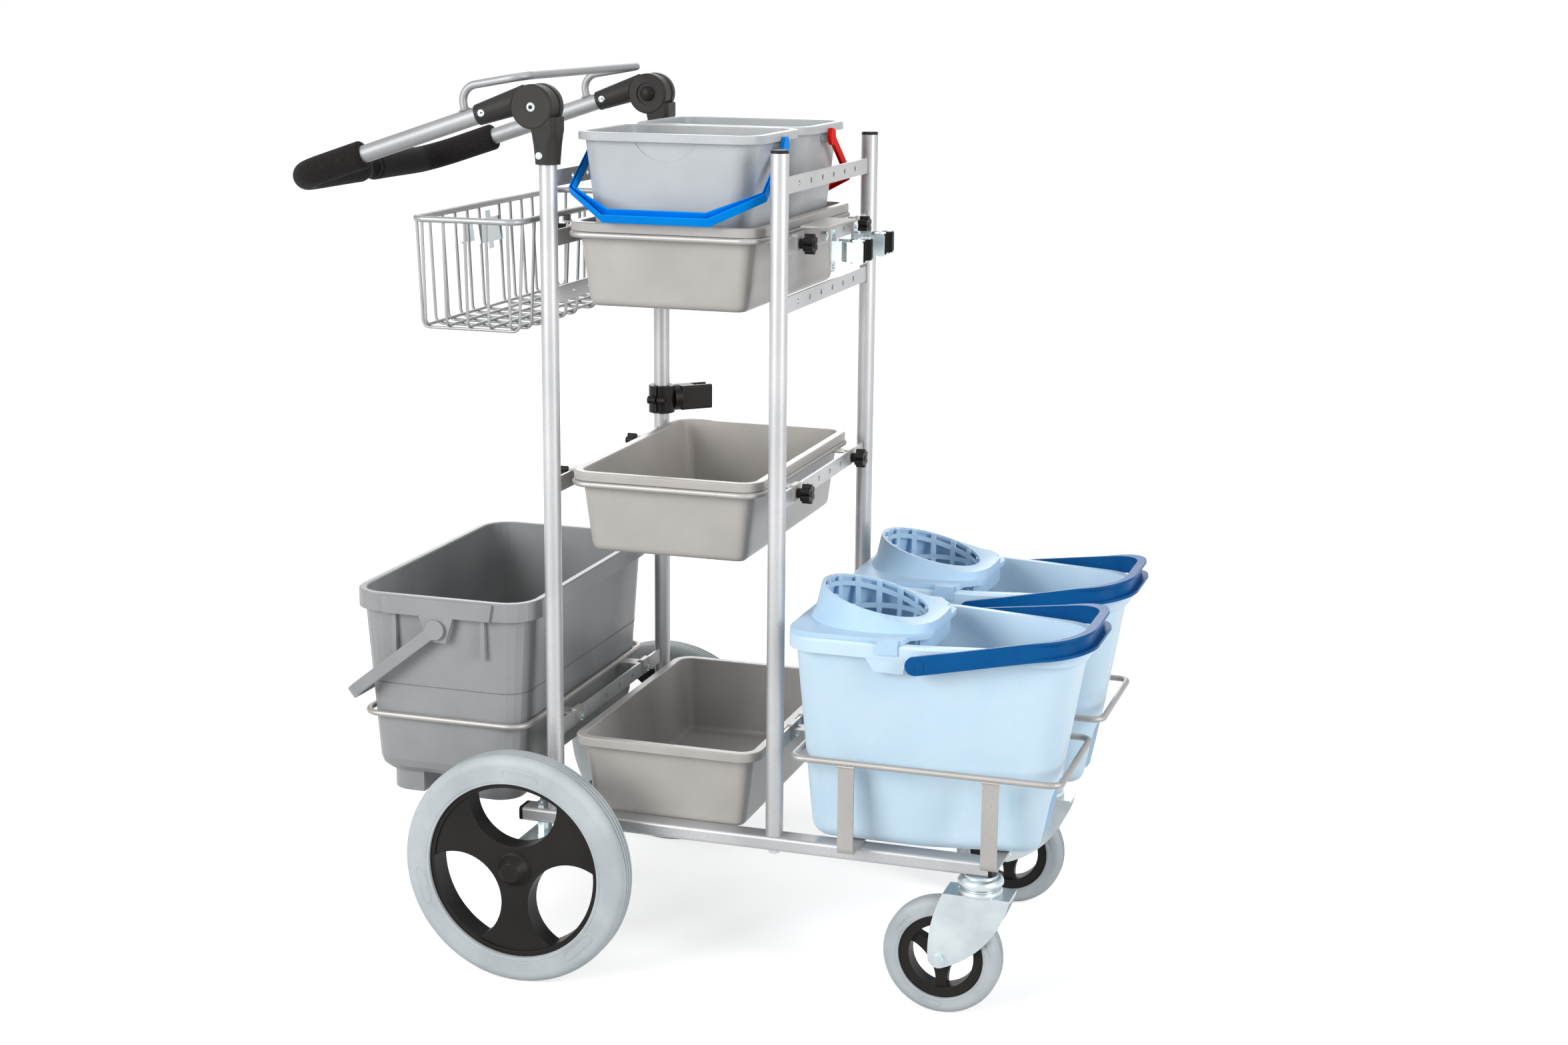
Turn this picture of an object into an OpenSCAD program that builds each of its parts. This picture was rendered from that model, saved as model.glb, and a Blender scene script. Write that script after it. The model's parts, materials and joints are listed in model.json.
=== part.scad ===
// Janitor cart: two perforated ladder frames bolted to a pair of rails, on two large rear
// wheels and two swivel casters, with a tilting push handle, trays, buckets and tool clips.
// Front is +X, the near side is -Y, up is +Z. Lengths are in millimetres.
// Places along X are counted from the rear posts; cart() then moves the origin to the floor
// under the middle of the cart.

/* [Frame] */
// Outer diameter of the four posts
post_d = 22; // [20:0.5:24]
// Wall of the post and handle tubes
tube_wall = 1.5; // [1:0.25:2.5]
// Distance from the rear posts to the front posts
post_pitch_x = 295; // [290:1:310]
// Distance from the near posts to the far posts
post_pitch_y = 386; // [380:1:400]
// How far the front posts rise above the uppermost bar
post_above = 30; // [16:1:60]
// Width of a side rail
rail_w = 30; // [28:1:34]
// Height of a side rail
rail_h = 18; // [16:1:20]
// How far the top of the side rails lies above the caster wheels
rail_above = 54; // [51:1:62]
// Corner radius of a side rail
rail_corner = 4; // [3:0.5:6]
// Wall of a side rail
rail_wall = 2; // [1.5:0.25:2.5]
// How far the rail centre lies inside the post centre
rail_inset = 2; // [0:0.5:3]
// Length of the rails behind the rear posts
rail_rear = 42; // [38:1:60]
// Length of the rails ahead of the front posts
rail_front = 277; // [270:1:300]
// Thickness of the tube and rail end caps
cap_t = 5; // [3:0.5:7]

/* [Perforated bars] */
// Height of a perforated bar
bar_h = 20; // [18:1:24]
// Thickness of a perforated bar
bar_t = 3; // [2:0.5:4]
// Diameter of the holes in the bars
hole_d = 7; // [6.5:0.25:8]
// Distance between two holes in a bar
hole_pitch = 48; // [44:1:50]
// Top of the lowest bar of the rear ladder
low_bar_rear = 317; // [310:1:325]
// Top of the lowest bar of the front ladder
low_bar_front = 327; // [320:1:335]
// Top of the bar that carries the middle tray
mid_bar = 636; // [620:1:650]
// Top of the third bar from below
third_bar = 875; // [865:1:885]
// Top of the bar that carries the top tray, the basket and the tool clips
tray_bar = 945; // [940:1:955]
// Top of the uppermost bar
top_bar = 1018; // [1012:1:1024]

/* [Rear wheels] */
// Diameter of the rear wheels
wheel_d = 300; // [280:1:320]
// Width of the rear tyres
wheel_w = 42; // [36:1:46]
// Radial height of the rear tyres
wheel_tyre_h = 35; // [28:1:40]
// Diameter of the rear axle
axle_d = 15; // [12:0.5:18]
// How far the axle lies behind the rear posts
axle_back = 20; // [19:0.5:22]
// Distance from a post to the middle of its wheel
wheel_out = 77; // [72:1:90]
// Outer width of the axle channel
channel_w = 34; // [30:1:40]
// Height of the axle channel
channel_h = 37; // [32:1:42]
// Distance from the axle to the top of its channel
channel_rise = 20; // [18:0.5:22]

/* [Casters] */
// Diameter of the caster wheels
caster_d = 150; // [140:1:152]
// Width of the caster tyres
caster_w = 30; // [26:1:34]
// Radial height of the caster tyres
caster_tyre_h = 21; // [16:1:24]
// How far the caster axle trails the swivel axis
caster_trail = 45; // [38:1:52]
// Distance from the front posts to the swivel axis
caster_ahead = 265; // [255:1:268]
// Diameter of the swivel head
caster_head_d = 57; // [52:1:60]

/* [Handle] */
// How far the handle pivot lies above the uppermost bar
pivot_above = 77; // [70:1:90]
// How far the pivot lies behind the rear posts
pivot_back = 13; // [10:0.5:16]
// Slope of the handle arms below level
arm_angle = 18.4; // [14:0.2:22]
// Distance from the pivot to the cross grips along the arm
arm_reach = 347; // [330:1:380]
// How far the arm tube runs above the pivot
arm_rise = 13; // [11:0.5:14]
// Diameter of the handle tube
arm_d = 22; // [20:0.5:23]
// Bend radius of the handle tube
arm_bend = 45; // [40:1:55]
// Outer diameter of the foam grips
foam_d = 36; // [32:0.5:38]
// Distance from the pivot to the start of the foam
foam_start = 243; // [220:1:260]
// Gap between the two grip ends
grip_gap = 26; // [16:1:40]
// Radius of the hinge discs
hinge_r = 27; // [25:0.5:29]
// Diameter of the rack rod between the arms
rack_d = 10; // [8:0.5:12]
// Slope of the rack between the arms
rack_angle = 10; // [8:0.5:14]
// Height of the rack above the pivot, square to its slope
rack_rise = 38; // [36:0.5:42]
// How far the rack's cross rod lies behind the pivot
rack_back = 10; // [8:0.5:14]
// Length of the rack from its feet to its cross rod
rack_len = 86; // [76:1:92]

/* [Trays] */
// Length of a tray rim along the cart
tray_rim_x = 250; // [240:1:254]
// How far a tray rim reaches past the post centres
tray_over = 6; // [3:0.5:8]
// Height of a tray
tray_h = 104; // [95:1:115]
// Wall of a tray
tray_wall = 2.5; // [2:0.25:3]
// Width of a tray lip
tray_lip = 10; // [8:0.5:11]
// Height of the rolled tray rim
tray_skirt = 11; // [9:0.5:13]
// Corner radius of a tray
tray_corner = 28; // [24:1:36]
// Bottom edge radius of a tray
tray_edge = 10; // [8:0.5:12]
// How far the tray bottom is drawn in at each end, along the cart
tray_draw_x = 22; // [18:0.5:24]
// How far the tray bottom is drawn in at each side
tray_draw_y = 18; // [16:0.5:20]

/* [Rod holders] */
// Diameter of the holder rods
rod_d = 8; // [7:0.5:9]
// Thickness of the hook sheets
sheet_t = 2; // [1.5:0.25:2.5]
// Width of a hook
hook_w = 24; // [20:1:28]
// Depth of a hook flange below the bar top
hook_depth = 18; // [16:0.5:20]
// Width of the flat bucket straps
strap_w = 20; // [16:1:26]
// Thickness of the flat bucket straps
strap_t = 3; // [2:0.5:4]
// Diameter of the star knob heads
knob_d = 25; // [22:0.5:27]
// Thickness of the star knob heads
knob_t = 12; // [10:0.5:13]
// Diameter of the star knob screws
screw_d = 6; // [5:0.5:6]

/* [Small buckets] */
// Length of a small bucket rim along the cart
small_rim_x = 240; // [230:1:246]
// Width of a small bucket rim
small_rim_y = 185; // [176:1:190]
// Height of a small bucket
small_h = 209; // [190:1:220]
// Distance from the cart's mid plane to a small bucket's middle
small_off = 98; // [97:0.5:99]
// How far a small bail rests below level
small_bail_angle = 35; // [32:1:36]
// Reach of a small bail from its pivot
small_bail_reach = 148; // [140:1:152]

/* [Rear bucket] */
// Length of the rear bucket rim along the cart
rear_rim_x = 254; // [240:1:258]
// Width of the rear bucket rim
rear_rim_y = 442; // [430:1:446]
// Height of the rear bucket without its feet
rear_h = 246; // [235:1:255]
// Height of the rear bucket rim above the floor
rear_rim_z = 476; // [470:1:482]
// How far the rear bucket's middle lies behind the rear posts
rear_back = 150; // [147:1:156]
// Height of the rear bucket's feet
rear_foot_h = 26; // [20:1:30]
// Height of the rear ring rod
rear_ring_z = 312; // [308:1:316]
// Reach of the rear bail from its pivot
rear_bail_reach = 171; // [166:1:172]
// How far the rear bail rests below level
rear_bail_angle = 38; // [34:1:40]

/* [Mop buckets] */
// Distance from the cart's mid plane to a mop bucket's middle
mop_off = 137; // [136:0.5:140]
// Length of a mop bucket rim
mop_len = 358; // [350:1:362]
// Distance from the front posts to the rear end of a mop bucket rim
mop_ahead = 23.5; // [23:0.5:27]
// Half width of a mop bucket rim at its rear end
mop_half_w = 108; // [104:0.5:109]
// Half width of a mop bucket rim at its front end
mop_front_half = 78; // [72:0.5:84]
// Height of a mop bucket
mop_h = 271; // [262:1:276]
// Wall of a mop bucket
mop_wall = 3; // [2.5:0.25:3.5]
// Height of the front ring rods
front_ring_z = 322; // [318:1:326]
// Slope of a mop bail at rest
mop_bail_angle = 9.5; // [8:0.25:11]
// Height of a mop bail strap
mop_bail_h = 23; // [20:0.5:25]
// Distance from the rim's rear end to the bail pivot
mop_pivot = 168; // [164:1:172]
// Outer radius of the wringer collar
wringer_r = 68; // [64:0.5:72]
// Height of the wringer collar above its plate
wringer_h = 48; // [44:1:56]
// Depth of the wringer cage below its plate
wringer_depth = 105; // [90:1:115]

/* [Wire basket] */
// Height of the basket rim rod
basket_rim_z = 957; // [955:0.5:960]
// Height of the basket below its rim rod
basket_h = 135; // [120:1:145]
// Length of the basket rim along the cart
basket_x = 142; // [138:1:148]
// Width of the basket rim
basket_y = 450; // [446:1:458]
// How far the front rim rod lies behind the rear posts
basket_back = 27; // [26:0.5:30]
// Diameter of the basket wires
wire_d = 4; // [3:0.25:4.5]
// Distance between the basket wires that run along the cart
wire_pitch = 36; // [35:0.25:36.5]

/* [Tool clips] */
// Diameter of a clip roller
roller_d = 16; // [14:0.5:17]
// Height of a clip roller
roller_h = 25; // [22:0.5:28]
// Distance between the two rollers of a clip
roller_gap = 26; // [24:0.5:28]
// How far the front clip tabs stand ahead of the front posts
tab_ahead = 40; // [38:0.5:46]
// Middle height of the tool clamp on the far rear post
clamp_z = 676; // [674:1:690]

/* [Hidden] */
$fn = 48;
seat = 0.3;
run = 0.05;
bolt_d = 8;
bolt_hex = 15;
bolt_head = 5.5;
bolt_hole = bolt_d + 2 * run;
weld = 1;

post_y = post_pitch_y / 2;
post_top = top_bar + post_above;
pivot_z = top_bar + pivot_above;
rail_top = caster_d + rail_above;
rail_y = post_y - rail_inset;
rail_bottom = rail_top - rail_h;
rail_x0 = -rail_rear;
rail_x1 = post_pitch_x + rail_front;
foot_t = 8;
axle_x = -axle_back;
axle_z = wheel_d / 2;
wheel_y = post_y + wheel_out;
channel_top = axle_z + channel_rise;
channel_half = wheel_y - 38;
channel_wall = 3;
caster_x = post_pitch_x + caster_ahead;
crown_z = caster_d + 7;
crown_t = 4;
cup_top = crown_z + crown_t + 8;
king_d = 12;
fork_in = caster_w / 2 + 3;
fork_t = 3;
knob_y = 2.5 * hole_pitch;
hinge_half = 20;
tongue_half = 7.7;
pin_d = 10;
rear_post_top = pivot_z - hinge_r - 8;
neck_d = post_d + 10;
pivot_x = -pivot_back;
plug_t = 3;
tray_x = post_pitch_x / 2;
tray_rim_y = post_pitch_y + 2 * tray_over;
tray_half = [tray_rim_x / 2, tray_rim_y / 2];
tray_base = tray_half - [tray_draw_x, tray_draw_y];
mop_bail_gap = 4;
mop_bail_t = 4;
mop_flange = 8;
front_end = post_pitch_x + mop_ahead + mop_pivot
    + (mop_len - mop_pivot + mop_bail_gap + mop_bail_t + mop_flange) * cos(mop_bail_angle)
    + mop_bail_h / 2 * sin(mop_bail_angle);
rear_end = pivot_x - arm_reach * cos(arm_angle) - arm_rise * sin(arm_angle) - foam_d / 2;
mid_x = (front_end + rear_end) / 2;

paint = "#C3C4C3";
zinc = "#C4CFD2";
black = "#33312F";
tyre_grey = "#B4BABD";
tray_grey = "#B9B5B1";
bucket_grey = "#BFC3C6";
dark_grey = "#7F8284";
ice_blue = "#BFE0F7";
navy = "#1F5F96";

// Vectors and outlines
function unit(v) = v / norm(v);
function lerp(a, b, t) = a + (b - a) * t;
function side_of(v) = abs(v.z) < 0.9 ? unit(cross(v, [0, 0, 1])) : unit(cross(v, [1, 0, 0]));

// Points of one rounded corner at v, between the neighbours a and b
function corner_arc(a, v, b, r, n) = let (
    da = unit(a - v),
    db = unit(b - v),
    half = acos(da * db) / 2,
    c = v + unit(da + db) * r / sin(half),
    p = v + da * r / tan(half) - c,
    q = v + db * r / tan(half) - c,
    a0 = atan2(p.y, p.x),
    turn = (atan2(q.y, q.x) - a0 + 540) % 360 - 180)
    [for (k = [0:n]) c + r * [cos(a0 + turn * k / n), sin(a0 + turn * k / n)]];

// Outline with a rounded corner at each vertex
function rounded(pts, radii, n) = let (m = len(pts))
    [for (i = [0:m - 1]) each corner_arc(pts[(i + m - 1) % m], pts[i], pts[(i + 1) % m], radii[i], n)];

function box_outline(half, r, n) =
    rounded([[-half.x, -half.y], [half.x, -half.y], half, [-half.x, half.y]], [r, r, r, r], n);

function level(pts, z) = [for (p = pts) [p.x, p.y, z]];

module cart() translate([-mid_x, 0, 0]) children();

module both_sides() for (s = [-1, 1]) mirror([0, s > 0 ? 1 : 0, 0]) children();

module round_rect(size, r) {
    square([size.x - 2 * r, size.y], center = true);
    square([size.x, size.y - 2 * r], center = true);
    for (sx = [-1, 1], sy = [-1, 1])
        translate([sx * (size.x / 2 - r), sy * (size.y / 2 - r)]) circle(r);
}

// Local axes u, v, w at the point p
module placed(p, u, v, w) {
    multmatrix([[u.x, v.x, w.x, p.x], [u.y, v.y, w.y, p.y], [u.z, v.z, w.z, p.z], [0, 0, 0, 1]]) children();
}

module straight(a, b, d) {
    w = unit(b - a);
    u = side_of(w);
    placed(a, u, cross(w, u), w) cylinder(d = d, h = norm(b - a));
}

// Rod along a path, with one bend radius; its points lie on a fine grid so that the
// straight and bent stretches meet exactly
grid = 100;
module bent(path, d, r, closed = false) {
    pts = [for (p = path) [for (c = p) round(c * grid) / grid]];
    m = len(pts);
    turning = closed ? [0:m - 1] : [1:m - 2];
    dirs = [for (i = [0:m - 1]) unit(pts[(i + 1) % m] - pts[i])];
    angles = [for (i = [0:m - 1]) acos(dirs[(i + m - 1) % m] * dirs[i])];
    trims = [for (i = [0:m - 1]) !closed && (i == 0 || i == m - 1) ? 0 : r * tan(angles[i] / 2)];
    for (i = [0:closed ? m - 1 : m - 2])
        straight(pts[i] + dirs[i] * trims[i], pts[(i + 1) % m] - dirs[i] * trims[(i + 1) % m], d);
    for (i = turning) {
        d_in = dirs[(i + m - 1) % m];
        inward = unit(dirs[i] - (dirs[i] * d_in) * d_in);
        placed(pts[i] - d_in * trims[i] + inward * r, -inward, d_in, cross(-inward, d_in))
            rotate_extrude(angle = angles[i]) translate([r, 0]) circle(d = d);
    }
}

// Open path that is longer by g at both ends
function longer(pts, g) = let (m = len(pts)) [for (i = [0:m - 1])
    i == 0 ? pts[0] + unit(pts[0] - pts[1]) * g
        : i == m - 1 ? pts[i] + unit(pts[i] - pts[i - 1]) * g : pts[i]];

module bent_tube(pts, d, r, bore) difference() {
    bent(pts, d, r);
    bent(longer(pts, 1), bore, r);
}

function ring_path(c, half, z) = [[c.x - half.x, c.y - half.y, z], [c.x + half.x, c.y - half.y, z],
    [c.x + half.x, c.y + half.y, z], [c.x - half.x, c.y + half.y, z]];

// Closed skin through a stack of outlines with equal point counts, from the outer
// bottom up over the rim and down to the inner bottom
module loft(rings) {
    m = len(rings[0]);
    n = len(rings);
    polyhedron([for (r = rings) each r], concat(
        [[for (j = [0:m - 1]) j], [for (j = [m - 1:-1:0]) (n - 1) * m + j]],
        [for (i = [0:n - 2], j = [0:m - 1]) [i * m + j, (i + 1) * m + j, (i + 1) * m + (j + 1) % m]],
        [for (i = [0:n - 2], j = [0:m - 1]) [i * m + j, (i + 1) * m + (j + 1) % m, i * m + (j + 1) % m]]));
}

// Moulded tub with drafted walls, rounded bottom edge and a rolled rim that hangs down
rim_round = 1.5;
tub_steps = 5;
edge_angles = [0, 30, 60, 90];
module tub(base, rim, h, corner, edge, wall, lip, skirt) {
    body = rim - [lip, lip];
    rc = corner - lip;
    bc = rc - 6;
    loft(concat(
        [for (a = edge_angles) let (g = edge * (1 - sin(a)))
            level(box_outline(base - [g, g], bc - g * 0.5, tub_steps), edge * (1 - cos(a)))],
        [level(box_outline(body, rc, tub_steps), h - wall),
         level(box_outline(rim - [wall, wall], corner - wall, tub_steps), h - wall),
         level(box_outline(rim - [wall, wall], corner - wall, tub_steps), h - skirt),
         level(box_outline(rim, corner, tub_steps), h - skirt),
         level(box_outline(rim, corner, tub_steps), h - rim_round),
         level(box_outline(rim - [rim_round, rim_round], corner - rim_round, tub_steps), h),
         level(box_outline(body - (wall - rim_round) * [1, 1], rc - wall + rim_round, tub_steps), h),
         level(box_outline(body - [wall, wall], rc - wall, tub_steps), h - rim_round)],
        [for (k = [len(edge_angles) - 1:-1:0])
            let (a = edge_angles[k], e = edge - wall, g = e * (1 - sin(a)) + wall)
            level(box_outline(base - [g, g], bc - wall - g * 0.4, tub_steps), wall + e * (1 - cos(a)))]));
}

function tub_wall_at(base, rim, lip, h, wall, edge, z) =
    lerp(base, rim - [lip, lip], (z - edge) / (h - wall - edge));

// Frame

module side_rails() color(paint) cart() both_sides() difference() {
    translate([rail_x0, -rail_y, rail_top - rail_h / 2]) rotate([0, 90, 0])
        linear_extrude(rail_x1 - rail_x0) difference() {
            round_rect([rail_h, rail_w], rail_corner);
            round_rect([rail_h, rail_w] - 2 * [rail_wall, rail_wall], rail_corner - rail_wall / 2);
        }
    for (p = [[0, post_y], [post_pitch_x, post_y], [axle_x, rail_y]])
        translate([p.x, -p.y, rail_bottom - 1]) cylinder(d = bolt_hole, h = rail_h + 2);
    translate([caster_x, -rail_y, rail_bottom - 1]) cylinder(d = king_d + 2 * run, h = rail_wall + 2);
}

module tube_plugs() color(black) cart() {
    for (x = [rail_x0, rail_x1]) both_sides() translate([x, -rail_y, rail_top - rail_h / 2])
        mirror([x < 0 ? 1 : 0, 0, 0]) rotate([0, 90, 0]) {
            linear_extrude(cap_t) round_rect([rail_h, rail_w], rail_corner);
            inside = [rail_h, rail_w] - 2 * [rail_wall + run, rail_wall + run];
            translate([0, 0, -cap_t]) linear_extrude(cap_t) round_rect(inside, rail_corner - rail_wall / 2);
        }
    both_sides() translate([post_pitch_x, -post_y, post_top]) {
        cylinder(d = post_d, h = cap_t / 2);
        translate([0, 0, cap_t / 2]) cylinder(d1 = post_d, d2 = post_d - 3, h = cap_t * 0.3);
        translate([0, 0, -3 * cap_t]) cylinder(d = post_d - 2 * (tube_wall + run), h = 3 * cap_t);
    }
}

// Two posts and the perforated bars welded between them
module ladder(x, bars, top) cart() difference() {
    union() {
        both_sides() translate([x, -post_y, rail_top]) difference() {
            cylinder(d = post_d, h = top - rail_top);
            translate([0, 0, foot_t]) cylinder(d = post_d - 2 * tube_wall, h = top - rail_top);
            translate([0, 0, -1]) cylinder(d = bolt_hole, h = foot_t + 2);
        }
        for (z = bars) translate([x - bar_t / 2, -post_y + post_d / 2 - weld, z - bar_h])
            cube([bar_t, post_pitch_y - post_d + 2 * weld, bar_h]);
    }
    for (z = bars, k = [-2.5:1:2.5]) translate([x, k * hole_pitch, z - bar_h / 2])
        rotate([0, 90, 0]) cylinder(d = hole_d, h = 2 * bar_t, center = true);
}

upper_bars = [mid_bar, third_bar, tray_bar, top_bar];
module rear_ladder() color(paint) ladder(0, concat(low_bar_rear, upper_bars), rear_post_top);

module front_ladder() color(paint) ladder(post_pitch_x, concat(low_bar_front, upper_bars), post_top);

// Hexagon bolt along X through a bar, with its head and nut outside the sheets
module cross_bolt(x, y, z, grip_back, grip_front, d) translate([x, y, z]) rotate([0, 90, 0]) {
    translate([0, 0, -grip_back - bolt_head]) cylinder(d = d, h = grip_back + grip_front + 2 * bolt_head);
    translate([0, 0, grip_front]) cylinder(d = 2 * d, h = bolt_head - 1, $fn = 6);
    translate([0, 0, -grip_back - bolt_head + 1]) cylinder(d = 2 * d, h = bolt_head - 1, $fn = 6);
}

holder_bolt_d = 6;
bracket_bolts = [-1.5, -0.5];
module frame_bolts() color(zinc) cart() {
    both_sides() for (x = [0, post_pitch_x]) translate([x, -post_y, rail_bottom - bolt_head]) {
        cylinder(d = bolt_hex, h = bolt_head, $fn = 6);
        cylinder(d = bolt_d, h = bolt_head + rail_h + foot_t);
    }
    both_sides() translate([axle_x, -rail_y, 0]) {
        translate([0, 0, channel_top - channel_wall - bolt_head]) {
            cylinder(d = bolt_hex, h = bolt_head, $fn = 6);
            cylinder(d = bolt_d, h = rail_top + 9 - channel_top + channel_wall + bolt_head);
        }
        translate([0, 0, channel_top]) cylinder(d = bolt_hex, h = rail_bottom - channel_top, $fn = 6);
        translate([0, 0, rail_top]) cylinder(d = bolt_hex, h = bolt_head, $fn = 6);
    }
    sheets = bar_t / 2 + sheet_t;
    for (y = [-knob_y, knob_y]) cross_bolt(0, y, low_bar_rear - bar_h / 2, sheets, sheets, holder_bolt_d);
    for (y = [-2.5, -1.5, 1.5, 2.5] * hole_pitch)
        cross_bolt(post_pitch_x, y, low_bar_front - bar_h / 2, sheets, sheets, holder_bolt_d);
    for (y = bracket_bolts * hole_pitch)
        cross_bolt(post_pitch_x, y, tray_bar - bar_h / 2, bar_t / 2, sheets, holder_bolt_d);
}

// Rear axle and wheels

gusset_t = 4;
module axle_channel() color(zinc) cart() difference() {
    union() {
        translate([axle_x, 0, channel_top - channel_h / 2]) rotate([90, 0, 0])
            linear_extrude(2 * channel_half, center = true) difference() {
                square([channel_w, channel_h], center = true);
                translate([0, -channel_wall])
                    square([channel_w - 2 * channel_wall, channel_h], center = true);
            }
        for (y = [-0.99, -0.5, 0.5, 0.99] * channel_half)
            translate([axle_x - channel_w / 2 + 1, y - gusset_t / 2, channel_top - channel_h])
                cube([channel_w - 2, gusset_t, channel_h - 1]);
    }
    translate([axle_x, 0, axle_z]) rotate([90, 0, 0])
        cylinder(d = axle_d + 2 * run, h = 3 * channel_half, center = true);
    both_sides() translate([axle_x, -rail_y, channel_top - 2 * channel_wall])
        cylinder(d = bolt_hole, h = 3 * channel_wall);
}

hub_in = 25;
hub_out = 28;
hub_cap = 11;
hub_r = 24;
end_gap = 2.5;
module wheel_axle() color(zinc) cart() translate([axle_x, 0, axle_z]) {
    rotate([90, 0, 0]) cylinder(d = axle_d, h = 2 * (wheel_y + hub_out - hub_cap - 1), center = true);
    both_sides() translate([0, -channel_half - end_gap, 0]) rotate([90, 0, 0])
        cylinder(d = axle_d + 9, h = wheel_y - hub_in - channel_half - end_gap - seat);
}

// Three flared spokes: each window is a large circle cut off by the rim. spoke is the least
// width of a spoke and hub the least distance from a window to the axis
module spoke_web(r, spoke, hub) difference() {
    window_at = (2 * hub - spoke) / (2 - sqrt(3));
    window_r = window_at - hub;
    circle(r + 2 * weld);
    for (a = [90, 210, 330]) intersection() {
        circle(r + weld);
        rotate(a) translate([window_at, 0]) circle(window_r);
    }
}

module tyre_section(r, h, w, round_r) difference() {
    union() {
        translate([r - h, -w / 2]) square([h - round_r, w]);
        translate([r - h, -w / 2 + round_r]) square([h, w - 2 * round_r]);
        for (s = [-1, 1]) translate([r - round_r, s * (w / 2 - round_r)]) circle(round_r);
    }
    for (k = [-1, 0, 1]) translate([r, k * w / 6]) square([3, 2], center = true);
}

wheel_rim_r = wheel_d / 2 - wheel_tyre_h;
rim_band = 13;
wheel_spoke = 30;
wheel_web = 33;
module at_rear_wheel(s) cart() translate([axle_x, s * wheel_y, axle_z]) rotate([-90 * s, 0, 0]) children();

// Cast hub: a rim band, three recessed spokes and a hub with a conical cap over the axle end
module rear_hub(s) color(black) at_rear_wheel(s) difference() {
    cap_z = hub_out - hub_cap;
    union() {
        rotate_extrude() translate([wheel_rim_r - rim_band, -wheel_w * 0.4])
            square([rim_band - run, wheel_w * 0.8]);
        linear_extrude(wheel_w * 0.68, center = true)
            spoke_web(wheel_rim_r - rim_band, wheel_spoke, wheel_web);
        translate([0, 0, -hub_in]) cylinder(r = hub_r, h = hub_in + 10);
        translate([0, 0, 10]) cylinder(r = hub_r - 2, h = cap_z - 10);
        translate([0, 0, cap_z]) cylinder(r1 = hub_r - 3, r2 = hub_r / 2, h = hub_cap);
    }
    translate([0, 0, -hub_in - 1]) cylinder(d = axle_d + 2 * run, h = hub_in + cap_z + 2);
}

module rear_tyre(s) color(tyre_grey) at_rear_wheel(s)
    rotate_extrude() tyre_section(wheel_d / 2, wheel_tyre_h, wheel_w, 12);

// Casters

// Pressed ball race: a disc whose edge bulges at the height z
module race(r, h, bulge, z) rotate_extrude() {
    square([r - bulge, h]);
    translate([r - bulge, z]) circle(bulge);
}

head_bulge = 7;
nut_h = 6;
module caster_heads() color(zinc) cart() both_sides() translate([caster_x, -rail_y, 0]) {
    translate([0, 0, cup_top + seat])
        race(caster_head_d / 2, rail_bottom - cup_top - seat, head_bulge, head_bulge);
    translate([0, 0, crown_z - seat - nut_h]) {
        cylinder(d = king_d, h = rail_top - rail_wall - 2 - crown_z + seat + nut_h);
        cylinder(d = king_d + 8, h = nut_h, $fn = 6);
    }
}

caster_axle_x = caster_x - caster_trail;
caster_bolt_d = 8;
fork_eye = 13;

// Side plate of a fork, from the axle: two large arcs close in on a round eye that touches both
function meet(a, ra, b, rb) = let (
    d = norm(b - a),
    e = (b - a) / d,
    u = (ra * ra - rb * rb + d * d) / (2 * d))
    a + u * e + sqrt(ra * ra - u * u) * [-e.y, e.x];
fork_rear_c = [161, 10];
fork_rear_r = 176;
fork_front_c = [-42.5, 111];
fork_front_r = 130.5;
fork_top = crown_z + crown_t - caster_d / 2;
crown_rear = fork_rear_c.x - sqrt(pow(fork_rear_r, 2) - pow(fork_top - fork_rear_c.y, 2));
crown_front = fork_front_c.x + sqrt(pow(fork_front_r, 2) - pow(fork_top - fork_front_c.y, 2));
module fork_plate() {
    eye = meet(fork_rear_c, fork_rear_r - fork_eye, fork_front_c, fork_front_r - fork_eye);
    to_rear = unit(eye - fork_rear_c);
    to_front = unit(eye - fork_front_c);
    difference() {
        intersection() {
            translate(fork_rear_c) circle(fork_rear_r);
            translate(fork_front_c) circle(fork_front_r);
            translate([-fork_rear_r, -caster_d / 2]) square([2 * fork_rear_r, caster_d / 2 + fork_top]);
        }
        translate(eye) polygon([[0, 0], 3 * fork_eye * to_rear, 3 * fork_eye * (to_rear + to_front),
            3 * fork_eye * to_front]);
    }
    translate(eye) circle(fork_eye);
}

fork_bulge = 4;
module caster_fork(s) color(zinc) cart() translate([0, s * rail_y, 0]) difference() {
    union() {
        for (t = [-1, 1]) translate([caster_axle_x, t * (fork_in + fork_t / 2), caster_d / 2])
            rotate([90, 0, 0]) linear_extrude(fork_t, center = true) fork_plate();
        translate([caster_axle_x + crown_rear, -fork_in - 1, crown_z])
            cube([crown_front - crown_rear, 2 * fork_in + 2, crown_t]);
        translate([caster_x, 0, crown_z])
            race(caster_head_d / 2 - 1, cup_top - crown_z, fork_bulge, crown_t + fork_bulge - 1);
    }
    translate([caster_x, 0, crown_z - 1]) cylinder(d = king_d + 2 * run, h = cup_top - crown_z + 2);
    translate([caster_axle_x, 0, caster_d / 2]) rotate([90, 0, 0])
        cylinder(d = caster_bolt_d + 2 * run, h = 4 * fork_in, center = true);
}

module at_caster_axle(s)
    cart() translate([caster_axle_x, s * rail_y, caster_d / 2]) rotate([90, 0, 0]) children();

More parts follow.
